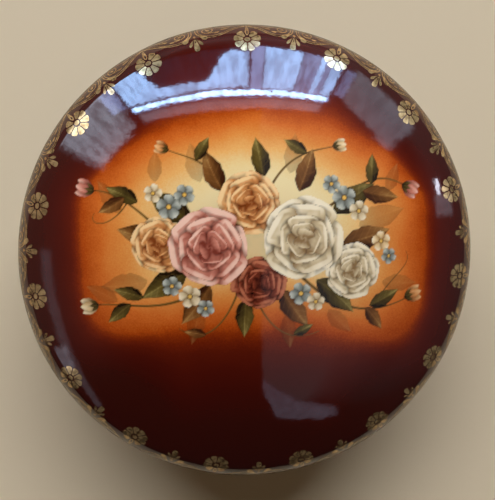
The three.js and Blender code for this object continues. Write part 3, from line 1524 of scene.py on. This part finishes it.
    @staticmethod
    def stalk(board: Board, points: Sequence[Pair], width: float) -> None:
        """Paints a stem that thins towards its tip.

        Args:
            board: What is painted.
            points: Its start, two points that pull it, and its tip.
            width: Its width at the start.
        """
        steps = 200
        share = np.linspace(0, 1, steps)[:, None]
        curve = [np.array(point, dtype=float)[None] for point in points]
        while len(curve) > 1:
            curve = [here + (there - here) * share for here, there in zip(curve, curve[1:])]
        route = curve[0]
        middle, reach = (route.min(0) + route.max(0)) / 2, np.ptp(route, axis=0).max() / 2 + 1
        where = board.near(tuple(middle), reach)
        spot = np.stack([board.across[where], board.along[where]], axis=1)
        gaps = ((spot[:, None, :] - route[None]) ** 2).sum(axis=2)
        nearest = gaps.argmin(axis=1)
        half = width / 2 * (1 - 0.65 * nearest / steps)
        cover = smooth(half - np.sqrt(gaps.min(axis=1)), -0.12, 0.12)
        tone = 0.5 + 0.5 * np.clip((spot[:, 1] - route[nearest, 1]) / width, -0.5, 0.5)
        board.lay(where, cover, Paint.STALK.value.mix(tone))

    @staticmethod
    def leaf(
        board: Board, root: Pair, turn: float, length: float, paint: Paint, bend: float, strength: float = 1.0
    ) -> None:
        """Paints a pointed leaf with its ribs.

        Args:
            board: What is painted.
            root: Where it springs from.
            turn: Direction in degrees.
            length: From root to tip.
            paint: Its paint.
            bend: Sideways bow.
            strength: How far it covers.
        """
        Blade(
            root, math.radians(turn), length, length * 0.46, paint.value, full=0.42, point=1.15, bend=bend,
            gain=0.75, lift=0.12, veins=0.3, strength=strength, shadow=0.4 * strength,
        ).paint_on(board)

    @staticmethod
    def bud(board: Board, root: Pair, turn: float, length: float, paint: Paint) -> None:
        """Paints a closed bud in its green cup.

        Args:
            board: What is painted.
            root: Where it meets its stalk.
            turn: Direction in radians.
            length: From cup to tip.
            paint: Its paint.
        """
        for aside in (0.35, -0.35, 0.0):
            Blade(root, turn + aside, length, length * 0.5, paint.value, full=0.5, point=1.0).paint_on(board)
        for aside in (0.6, -0.6, 0.0):
            Blade(
                root, turn + aside, length * 0.55, length * 0.2, Paint.LEAF.value, full=0.4, point=1.2,
                gain=0.6, shadow=0.2,
            ).paint_on(board)

    @classmethod
    def rose(cls, board: Board, place: Pair, radius: float, paint: Paint, turn: float) -> None:
        """Paints a full-blown rose, ring by ring from the outside in.

        Args:
            board: What is painted.
            place: Its middle.
            radius: Its size.
            paint: Its paint.
            turn: Direction of its first petal.
        """
        for count, root, length, width, lift, rolled in cls.ROSE_RINGS:
            turn += board.random.uniform(0.3, 0.8)
            for number in board.random.permutation(count):
                way = turn + FULL_TURN * number / count + board.random.uniform(-0.12, 0.12)
                size = radius * board.random.uniform(0.92, 1.08)
                start = (place[0] + radius * root * math.cos(way), place[1] + radius * root * math.sin(way))
                Blade(
                    start, way, size * length, size * width, paint.value, full=0.62, point=0.66,
                    bend=board.random.uniform(-0.1, 0.1), lift=lift + 0.10 * math.sin(way), shadow=0.5,
                    rolled=rolled,
                ).paint_on(board)
        heart = board.near(place, radius * 0.3)
        right, up = board.across[heart] - place[0], board.along[heart] - place[1]
        gap = np.hypot(right, up) / radius
        whorl = np.sin(np.arctan2(up, right) * 2 + gap * 34)
        tone = 0.10 + 0.14 * whorl
        board.lay(heart, 0.8 * (1 - smooth(gap, 0.05, 0.14)), paint.value.mix(tone))

    @staticmethod
    def blossom(board: Board, place: Pair, radius: float, turn: float, paint: Paint) -> None:
        """Paints a small five-petalled flower with a honey-coloured eye.

        Args:
            board: What is painted.
            place: Its middle.
            radius: Its size.
            turn: Direction of its first petal.
            paint: Its paint.
        """
        petals = 5
        for number in range(petals):
            way = turn + FULL_TURN * number / petals
            root = (place[0] + 0.1 * radius * math.cos(way), place[1] + 0.1 * radius * math.sin(way))
            petal = Blade(root, way, radius, radius * 0.95, paint.value, full=0.6, point=0.65, lift=0.15)
            petal.paint_on(board)
        where = board.near(place, radius)
        gap = np.hypot(board.across[where] - place[0], board.along[where] - place[1]) / radius
        board.lay(where, 1 - smooth(gap, 0.22, 0.34), Paint.STALK.value.mix(np.full(len(gap), 0.2)))
        board.lay(where, 1 - smooth(gap, 0.14, 0.24), Paint.HONEY.value.mix(np.full(len(gap), 0.7)))


@dataclass(frozen=True)
class EnamelPainting:
    """Fired china paint over the glowing ground, under the same gloss."""

    name: str = "flower_painting"
    layer: str = "paint"
    gloss: Gloss = Gloss()
    colour: GroundColour = GroundColour()

    def make(self) -> Material:
        """Builds the material."""
        board = NodeBoard(bpy.data.materials.new(self.name))
        point = board.object_point()
        paint = board.add("ShaderNodeAttribute", attribute_name=self.layer)
        bare = board.mix(paint.outputs["Alpha"], self.colour.glow(board, point), (0, 0, 0, 1))
        board.link(board.mix(1.0, bare, paint.outputs["Color"], "ADD"), board.surface.inputs["Base Color"])
        self.gloss.lay(board, point)
        return board.owner


@dataclass
class LidPainting:
    """The thin painted field on top of the lid, in millimetres.

    Attributes:
        corners: Squareness of its corners, where 2 is an ellipse.
        cell: Size of its first squares, which are cut up for the painting.
        rise: How far its face lies over the glaze.
        sink: How far its edge lies under it.
        feather: Distance from the middle, where 1 is the edge, from which its face sinks.
        body: How far its hidden back lies under the glaze.
    """

    form: LidForm
    enamel: EnamelPainting = EnamelPainting()
    half_width: float = 45.0
    half_height: float = 27.0
    middle: Pair = (0.0, 5.5)
    cell: float = 3.1
    cuts: int = 12
    rise: float = 0.015
    sink: float = 0.015
    feather: float = 0.86
    body: float = 0.6
    corners: float = 4.0

    def distance(self, points: Array) -> Array:
        """Gives how far points lie from the field's middle, where 1 is its edge."""
        across = np.abs(points[:, 0] - self.middle[0]) / self.half_width
        along = np.abs(points[:, 1] - self.middle[1]) / self.half_height
        return (across**self.corners + along**self.corners) ** (1 / self.corners)

    def sheet(self) -> Piece:
        """Cuts the flat oval sheet and makes its face fine enough to paint on."""
        wide, tall = (2 * (half + self.cell) for half in (self.half_width, self.half_height))
        bpy.ops.object.select_all(action="DESELECT")
        bpy.ops.mesh.primitive_grid_add(
            x_subdivisions=round(wide / self.cell), y_subdivisions=round(tall / self.cell), size=1
        )
        piece = bpy.context.object
        piece.name = self.enamel.name
        bpy.ops.object.mode_set(mode="EDIT")
        bpy.ops.mesh.select_all(action="SELECT")
        bpy.ops.transform.resize(value=(wide, tall, 1))
        bpy.ops.transform.translate(value=(*self.middle, 0))
        bpy.ops.mesh.select_all(action="DESELECT")
        bpy.ops.object.mode_set(mode="OBJECT")
        centres = np.array([face.center[:] for face in piece.data.polygons])
        outside = self.distance(centres) > 1 + self.cell / 2 / self.half_height
        piece.data.polygons.foreach_set("select", outside)
        bpy.ops.object.mode_set(mode="EDIT")
        bpy.ops.mesh.delete(type="FACE")
        bpy.ops.mesh.select_all(action="SELECT")
        bpy.ops.mesh.extrude_region_move(TRANSFORM_OT_translate={"value": (0, 0, 1)})
        bpy.ops.mesh.subdivide(number_cuts=self.cuts)
        bpy.ops.mesh.select_all(action="SELECT")
        bpy.ops.mesh.normals_make_consistent(inside=False)
        bpy.ops.object.mode_set(mode="OBJECT")
        return piece

    def build(self) -> Piece:
        """Builds the painted field and lays it on the dome."""
        piece = self.sheet()
        points = points_of(piece)
        face = points[:, 2] > 0.5
        board = Board(points[face, 0], points[face, 1])
        FlowerSpray().paint(board)
        layer = np.zeros((len(points), 4))
        layer[face, :3], layer[face, 3] = board.colour, board.cover
        paint = piece.data.color_attributes.new(self.enamel.layer, "FLOAT_COLOR", "POINT")
        paint.data.foreach_set("color", layer.ravel())
        dome = self.form.dome_height(np.hypot(points[:, 0], points[:, 1]))
        edge = smooth(self.distance(points), self.feather, 1.0)
        points[:, 2] = dome + np.where(face, self.rise - (self.rise + self.sink) * edge, -self.body)
        set_points(piece, points * MM)
        bpy.ops.object.shade_smooth()
        piece.data.materials.append(self.enamel.make())
        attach(piece, "lid")
        return piece


class Sky(Enum):
    """Tints of what the glaze mirrors."""

    PANE = (0.35, 0.58, 1.0)
    BAR = (0.40, 0.54, 1.0)
    BLIND = (0.9, 0.82, 1.0)
    WALL = (0.72, 0.82, 1.0)
    SIDE = (0.82, 0.84, 1.0)


@dataclass(frozen=True)
class Pane:
    """One part of the soft window light as the glaze mirrors it, by its edges seen from the box.

    Attributes:
        name: Name of its lamp.
        left: Its left edge, in degrees from the middle of the window.
        right: Its right edge.
        low: Its lower edge, as a share of the window's distance.
        high: Its upper edge.
        bright: How bright it looks.
        tint: Its colour.
        uneven: How far its brightness wanders, 0 to 1.
        soft: Width of its soft edge in metres.
        notched: Whether a dark notch cuts off its lower left corner.
        facing: Direction of the plane that it lies in, in degrees from the middle of the window.
    """

    name: str
    left: float
    right: float
    low: float
    high: float
    bright: float
    tint: Sky
    uneven: float = 0.0
    soft: float = 0.0
    notched: bool = False
    facing: float = 0.0


@dataclass(frozen=True)
class Notch:
    """The dark notch at the lower left of the window light, in metres.

    Attributes:
        height: Height of its edge at the right.
        climb: Where that edge climbs on its way to the left, and rise how far.
        fall: Where it falls again, and drop how far.
        jags: Height of its jags.
        fade: Heights over its edge where the light starts and is full.
        dim: Share of the light that is left in it.
    """

    height: float = 0.64
    climb: Pair = (-0.03, -0.26)
    rise: float = 0.29
    fall: Pair = (-0.60, -0.72)
    drop: float = 0.3
    jag_size: float = 0.09
    jags: float = 0.12
    fade: Pair = (-0.006, 0.012)
    dim: float = 0.018

    def cut(self, board: NodeBoard, point: Socket) -> Socket:
        """Gives the share of the light that is left at a place.

        Args:
            board: The lamp's nodes.
            point: The place.

        Returns:
            The share's socket.
        """
        right, _, up = board.split(point)
        edge = board.math("MULTIPLY_ADD", board.step(right, *self.climb), self.rise, self.height)
        edge = board.math("MULTIPLY_ADD", board.step(right, *self.fall), -self.drop, edge)
        edge = board.math("MULTIPLY_ADD", board.noise(point, self.jag_size, 3.0), self.jags, edge)
        over = board.step(board.math("SUBTRACT", up, edge), *self.fade)
        return board.math("MULTIPLY_ADD", over, 1 - self.dim, self.dim)


@dataclass(frozen=True)
class Room:
    """The dim light that the glaze mirrors from beyond the lamps, by direction.

    A direction has the coordinates right, back and up, from -1 to 1. A pair of numbers says where something
    starts and where it is full.

    Attributes:
        dark: Colour where nothing else shines.
        waver: Size and strength of the unevenness of all edges.
        left_edge: Left edge of the veil and the patch.
        bend: Height under which that edge leans.
        lean: How far it leans.
        slope: Slope of the edge between the veil and the patch.
        veil: Tint of the soft veil at the upper right.
        veil_fade: Width of its lower edge at the left, and what is added to it at the right.
        patch: Tint of the pale patch under the veil.
        mottle: Size, strength and least share of its mottling.
        side: Tint of the weak light at the left.
        glow: Tint of the low light behind the box.
        glow_bright: How much that grows upwards, and from what.
        wide: Where and how much more of it comes from the back as a whole.
        right_side: Where and how much more of it comes from the right.
    """

    dark: tuple = (0.02, 0.02, 0.021, 1.0)
    waver: Pair = (0.12, 0.05)
    left_edge: Pair = (0.105, 0.12)
    bend: float = 0.7
    lean: float = 0.4
    slope: float = 0.76
    veil: tuple = (0.19, 0.26, 0.29, 1.0)
    veil_low: float = 0.80
    veil_fade: Pair = (0.02, 0.25)
    veil_widen: Pair = (0.28, 0.5)
    veil_end: Pair = (0.95, 0.36)
    patch: tuple = (0.72, 0.78, 1.05, 1.0)
    patch_top: Pair = (0.82, 0.795)
    patch_low: Pair = (0.595, 0.61)
    patch_slope: float = 0.4
    patch_end: Pair = (0.46, 0.42)
    mottle: Triple = (0.035, 0.8, 0.3)
    side: tuple = (0.13, 0.10, 0.09, 1.0)
    side_across: Pair = (-0.35, -0.7)
    side_up: Pair = (0.78, 0.5)
    side_back: Pair = (-0.75, -0.3)
    glow: tuple = (0.86, 0.93, 1.0, 1.0)
    glow_rise: Pair = (0.05, 0.37)
    glow_bright: Pair = (0.26, 0.10)
    glow_back: Pair = (0.65, 0.97)
    wide: Triple = (0.1, 0.6, 0.08)
    right_side: Triple = (-0.2, 0.6, 0.12)
    glow_front: Pair = (-0.9, -0.1)
    glow_top: Pair = (0.50, 0.40)

    def low_glow(self, board: NodeBoard, point: Socket) -> Socket:
        """Gives how bright the low light is in a direction."""
        right, back, up = board.split(point)
        bright = board.math("MULTIPLY_ADD", board.step(up, *self.glow_rise), *self.glow_bright)
        total = board.product(board.step(back, *self.glow_back), bright)
        for place, (low, high, share) in ((back, self.wide), (right, self.right_side)):
            total = board.math("MULTIPLY_ADD", board.step(place, low, high), share, total)
        return board.product(total, board.step(back, *self.glow_front), board.step(up, *self.glow_top))

    def upper_right(self, board: NodeBoard, point: Socket) -> tuple[Socket, Socket]:
        """Gives how bright the veil and the patch are in a direction.

        Args:
            board: The world's nodes.
            point: The direction.

        Returns:
            The veil's and the patch's brightness.
        """
        right, _, up = board.split(point)
        size, depth = self.waver
        waver = board.math("MULTIPLY_ADD", board.noise(point, size, 4.0), depth, -depth / 2)
        under = board.math("MINIMUM", board.math("SUBTRACT", up, self.bend), 0.0)
        upright = board.math("ADD", board.math("MULTIPLY_ADD", under, self.lean, right), waver)
        started = board.step(upright, *self.left_edge)
        line = board.math("ADD", board.math("MULTIPLY_ADD", right, self.slope, up), waver)
        narrow, wider = self.veil_fade
        width = board.math("MULTIPLY_ADD", board.step(right, *self.veil_widen), wider, narrow)
        above = board.math("DIVIDE", board.math("SUBTRACT", line, self.veil_low), width, clamp=True)
        veil = board.product(started, above, board.step(right, *self.veil_end))
        sill = board.math("ADD", board.math("MULTIPLY_ADD", right, self.patch_slope, up), waver)
        between = board.product(board.step(line, *self.patch_top), board.step(sill, *self.patch_low))
        size, share, least = self.mottle
        mottle = board.math("MULTIPLY_ADD", board.noise(point, size, 3.0), share, least)
        return veil, board.product(started, between, board.step(right, *self.patch_end), mottle)

    def build(self) -> None:
        """Lights the world."""
        board = NodeBoard(bpy.data.worlds.new("room"))
        point = board.add("ShaderNodeTexCoord").outputs["Generated"]
        veil, patch = self.upper_right(board, point)
        reaches = zip(board.split(point), (self.side_across, self.side_back, self.side_up))
        side = board.product(*(board.step(place, low, high) for place, (low, high) in reaches))
        glow = self.low_glow(board, point)
        total = self.dark
        for share, tint in ((glow, self.glow), (veil, self.veil), (patch, self.patch), (side, self.side)):
            total = board.mix(1.0, total, board.mix(share, (0.0, 0.0, 0.0, 1.0), tint), "ADD")
        board.link(total, board.surface.inputs["Color"])
        board.owner.cycles_visibility.diffuse = False
        bpy.context.scene.world = board.owner


@dataclass
class Studio:
    """Plain pale floor, one soft window light, soft fill and what the glaze mirrors of them.

    Attributes:
        window_turn: Direction of the window's middle, in degrees from the back to the left.
        key: The plain light that comes from the whole window.
        level: Height in metres from which the window's edges are seen.
        panes: The parts of the window and beside it, as the glaze mirrors them.
        side_lights: Name, place, size, brightness and soft edge of what it mirrors at the sides.
        fill_lights: Name, place, size and brightness of the fill.
        streak: Squeeze of the mottling along each axis, below 1 for streaks along it.
        blotch: Size of the mottling in metres.
        blotch_range: Noise values at which it starts and is full.
        blotch_share: Share of the mottling that goes off the brightness.
        fray: Size of the waves of a soft edge in metres.
    """

    floor_colour: tuple = linear(212, 199, 174)
    floor_size: float = 3.0
    floor_rough: float = 0.7
    floor_shine: float = 0.2
    window_distance: float = 1.2
    window_turn: float = 3.0
    key: Pane = Pane("window_light", 38.0, -38.0, 0.53, 1.12, 11.0, Sky.WALL)
    key_colour: Triple = (1.0, 0.99, 0.985)
    level: float = 0.035
    panes: Sequence[Pane] = (
        Pane("pane_left", 37.0, -7.6, 0.53, 0.905, 17.0, Sky.PANE, 0.55, 0.03, True),
        Pane("bar_left", -7.6, -11.6, 0.53, 0.905, 9.0, Sky.BAR, 0.3),
        Pane("pane_middle", -11.6, -23.4, 0.53, 0.905, 17.0, Sky.PANE, 0.5, 0.01),
        Pane("bar_right", -23.4, -28.6, 0.53, 0.905, 6.5, Sky.BAR, 0.8),
        Pane("pane_narrow", -28.6, -30.4, 0.53, 0.905, 18.0, Sky.PANE, 0.4),
        Pane("bar_narrow", -30.4, -32.0, 0.53, 0.905, 7.5, Sky.BAR, 0.4),
        Pane("pane_right", -32.0, -35.6, 0.53, 0.905, 15.0, Sky.PANE, 0.5, 0.01),
        Pane("reveal", -35.6, -40.5, 0.56, 0.90, 3.6, Sky.BAR, 0.8, 0.04),
        Pane("reveal_left", 42.5, 36.6, 0.50, 0.93, 6.5, Sky.BAR, 0.6, 0.04),
        Pane("pane_top", 36.5, -36.0, 0.91, 0.98, 50.0, Sky.PANE, 0.6, 0.014),
        Pane("blind", 36.5, -36.0, 0.985, 1.16, 2.2, Sky.BLIND, 0.3, 0.05),
        Pane("wall_left", 62.0, 36.5, 0.29, 0.95, 3.8, Sky.WALL, 0.7, 0.09, False, 50.0),
        Pane("wall_right", -37.5, -64.0, 0.38, 0.745, 1.85, Sky.WALL, 0.3, 0.06, False, -51.0),
    )
    side_lights: Sequence[tuple] = (
        ("side_strip", (-1.2, -0.78, 0.68), (1.5, 0.17), 0.44, 0.05),
        ("side_spot", (-1.21, -0.86, 0.60), (0.30, 0.24), 1.2, 0.05),
        ("side_streak", (1.2, 0.295, 0.56), (0.115, 0.045), 18.0, 0.01),
        ("side_patch", (1.21, 0.18, 0.53), (0.18, 0.22), 1.2, 0.04),
    )
    side_uneven: float = 0.3
    fill_lights: Sequence[tuple] = (
        ("fill_top", (0.1, -0.25, 1.3), (1.0, 1.0), 0.42),
        ("fill_front", (0.2, -1.3, 0.8), (1.2, 0.8), 0.2),
    )
    fill_colour: Triple = (1.0, 0.70, 0.42)
    streak: Triple = (1.0, 1.0, 0.22)
    blotch: float = 0.04
    blotch_range: Pair = (0.34, 0.62)
    blotch_share: float = 0.6
    fray: float = 0.05
    notch: Notch = Notch()
    room: Room = Room()

    def floor(self) -> None:
        """Lays the floor that the box stands on."""
        bpy.ops.object.select_all(action="DESELECT")
        bpy.ops.mesh.primitive_plane_add(size=self.floor_size, location=(0, 0, 0))
        floor = bpy.context.object
        floor.name = "floor"
        board = NodeBoard(bpy.data.materials.new("floor"))
        board.surface.inputs["Base Color"].default_value = self.floor_colour
        board.surface.inputs["Roughness"].default_value = self.floor_rough
        board.surface.inputs["Specular IOR Level"].default_value = self.floor_shine
        floor.data.materials.append(board.owner)

    def lamp(
        self, name: str, place: Vector, facing: Vector, size: Pair, bright: float, colour: Triple
    ) -> Piece:
        """Hangs one soft rectangular lamp.

        Args:
            name: Name of the lamp.
            place: Its middle.
            facing: Direction from its face back over its shoulder.
            size: Width and height.
            bright: How bright its face looks, where 1 is white paper in full light.
            colour: Its tint.

        Returns:
            The lamp.
        """
        data = bpy.data.lights.new(name, "AREA")
        data.shape = "RECTANGLE"
        data.size, data.size_y = size
        data.energy = bright * math.pi * size[0] * size[1]
        data.color = colour
        lamp = bpy.data.objects.new(name, data)
        bpy.context.scene.collection.objects.link(lamp)
        lamp.location = place
        lamp.rotation_euler = facing.to_track_quat("Z", "Y").to_euler()
        return lamp

    def hang(self, pane: Pane, tint: Triple) -> Piece:
        """Hangs the lamp of one part of the window.

        Args:
            pane: Its edges and how bright it is.
            tint: Its colour.

        Returns:
            The lamp.
        """
        turn = math.radians(self.window_turn + pane.facing)
        back = Vector((-math.sin(turn), math.cos(turn), 0))
        left = Vector((-math.cos(turn), -math.sin(turn), 0))
        angles = (math.radians(edge - pane.facing) for edge in (pane.left, pane.right))
        edges = [self.window_distance * math.tan(angle) for angle in angles]
        low, high = (self.window_distance * share for share in (pane.low, pane.high))
        place = back * self.window_distance + left * (sum(edges) / 2)
        place.z = self.level + (low + high) / 2
        return self.lamp(pane.name, place, back, (edges[0] - edges[1], high - low), pane.bright, tint)

    def weather(self, lamp: Piece, uneven: float, soft: float, notched: bool = False) -> None:
        """Makes a mirrored lamp mottled and soft at its edges, and keeps its light off the pieces.

        Args:
            lamp: The lamp.
            uneven: How far its brightness wanders.
            soft: Width of its soft edge.
            notched: Whether the dark notch cuts into it.
        """
        lamp.visible_diffuse = False
        board = NodeBoard(lamp.data)
        point = board.add("ShaderNodeNewGeometry").outputs["Position"]
        streaks = board.vector("MULTIPLY", point, self.streak).outputs["Vector"]
        fine = board.step(board.noise(streaks, self.blotch, 5.0, 0.6), *self.blotch_range)
        shine = board.math("MULTIPLY_ADD", fine, uneven, 1.0 - self.blotch_share * uneven)
        matrix = lamp.rotation_euler.to_matrix()
        halves = (lamp.data.size / 2, lamp.data.size_y / 2) if soft else ()
        for number, half in enumerate(halves):
            axis = matrix.col[number]
            along = board.vector("DOT_PRODUCT", point, axis).outputs["Value"]
            away = board.math("SUBTRACT", along, axis.dot(lamp.location))
            frayed = board.math("MULTIPLY_ADD", board.noise(point, self.fray, 3.0), soft, -0.5 * soft)
            edge = board.math("ADD", board.math("ABSOLUTE", away), frayed)
            shine = board.product(shine, board.step(edge, half - 0.25 * soft, half - 1.25 * soft))
        if notched:
            shine = board.product(shine, self.notch.cut(board, point))
        board.link(shine, board.surface.inputs["Strength"])

    @staticmethod
    def plain(lamp: Piece) -> None:
        """Makes a lamp light the pieces without showing in the glaze."""
        lamp.visible_glossy = False
        lamp.data.cycles.use_multiple_importance_sampling = False

    def window(self) -> None:
        """Hangs the window as the glaze mirrors it, and the plain soft light that comes from it."""
        for pane in self.panes:
            self.weather(self.hang(pane, pane.tint.value), pane.uneven, pane.soft, pane.notched)
        self.plain(self.hang(self.key, self.key_colour))

    def sides(self) -> None:
        """Hangs the small bright places at the sides that show in the glaze alone."""
        for name, place, size, bright, soft in self.side_lights:
            facing = Vector((place[0], 0, 0))
            lamp = self.lamp(name, Vector(place), facing, size, bright, Sky.SIDE.value)
            self.weather(lamp, self.side_uneven, soft)

    def fill(self) -> None:
        """Hangs the soft fill, which does not show in the glaze."""
        box = Vector((0, 0, self.level))
        for name, place, size, bright in self.fill_lights:
            facing = Vector(place) - box
            self.plain(self.lamp(name, Vector(place), facing, size, bright, self.fill_colour))

    def build(self) -> None:
        """Sets up the whole studio."""
        self.floor()
        self.window()
        self.sides()
        self.fill()
        self.room.build()
        bpy.context.scene.view_settings.view_transform = "Standard"


@dataclass
class PhotoCamera:
    """The camera, almost straight above the box.

    Attributes:
        focal: Focal length, in pixels of the frame.
        centre_x: Where the lens looks straight at, in pixels from the frame's left edge.
        centre_y: The same, from its top edge.
        distance: How far it is from the middle of the lid's widest circle, from its rim radius.
        tilt: Angle away from straight above, in degrees.
        heading: Direction of that tilt, in degrees from the right.
    """

    frame_width: int = 495
    frame_height: int = 500
    focal: float = 627.8
    centre_x: float = 248.85
    centre_y: float = 257.59
    distance: float = 2.8 * LID_HIGH.x
    tilt: float = 7.66
    heading: float = 119.8
    sensor: float = 36.0

    def build(self, aim: Vector) -> None:
        """Sets the camera up.

        Args:
            aim: Middle of the lid's widest circle.
        """
        data = bpy.data.cameras.new("camera")
        data.sensor_width = self.sensor
        data.lens = self.focal / self.frame_height * self.sensor
        data.shift_x = (self.frame_width / 2 - self.centre_x) / self.frame_height
        data.shift_y = (self.centre_y - self.frame_height / 2) / self.frame_height
        data.clip_start = 0.01
        camera = bpy.data.objects.new("camera", data)
        bpy.context.scene.collection.objects.link(camera)
        tilt, heading = math.radians(self.tilt), math.radians(self.heading)
        back = Vector(
            (math.sin(tilt) * math.cos(heading), math.sin(tilt) * math.sin(heading), math.cos(tilt))
        )
        right = Vector((0, 1, 0)).cross(back).normalized()
        up = back.cross(right)
        camera.location = aim + back * self.distance
        camera.rotation_euler = Matrix((right, up, back)).transposed().to_euler()
        bpy.context.scene.camera = camera


def main() -> None:
    """Builds the box, its studio and its camera, and reports each piece."""
    logging.basicConfig(level=logging.INFO, format="%(name)s: %(message)s")
    finishes = Finishes()
    lid, base = LidForm(), BaseForm()
    pieces = [
        Shell("lid", lid, finishes.lid_ground, finishes).build(),
        Shell("base", base, finishes.base_ground, finishes).build(),
        LidPainting(lid).build(),
    ]
    pieces += GiltBorder(
        lid, BorderPlan(), finishes.gold, "lid", 0.0, [(3.25, 0.35, "gilt_line"), (-1.6, 1.1, "gilt_edge")]
    ).build()
    pieces += GiltBorder(
        base, BorderPlan(), finishes.gold, "base", -1.8, [(1.1, 1.0, "gilt_edge")]
    ).build()
    for piece in pieces:
        LOG.info("%s: %d faces", piece.name, len(piece.data.polygons))
    Studio().build()
    PhotoCamera().build(Vector((0, 0, lid.widest_height * MM)))


if __name__ == "__main__":
    main()
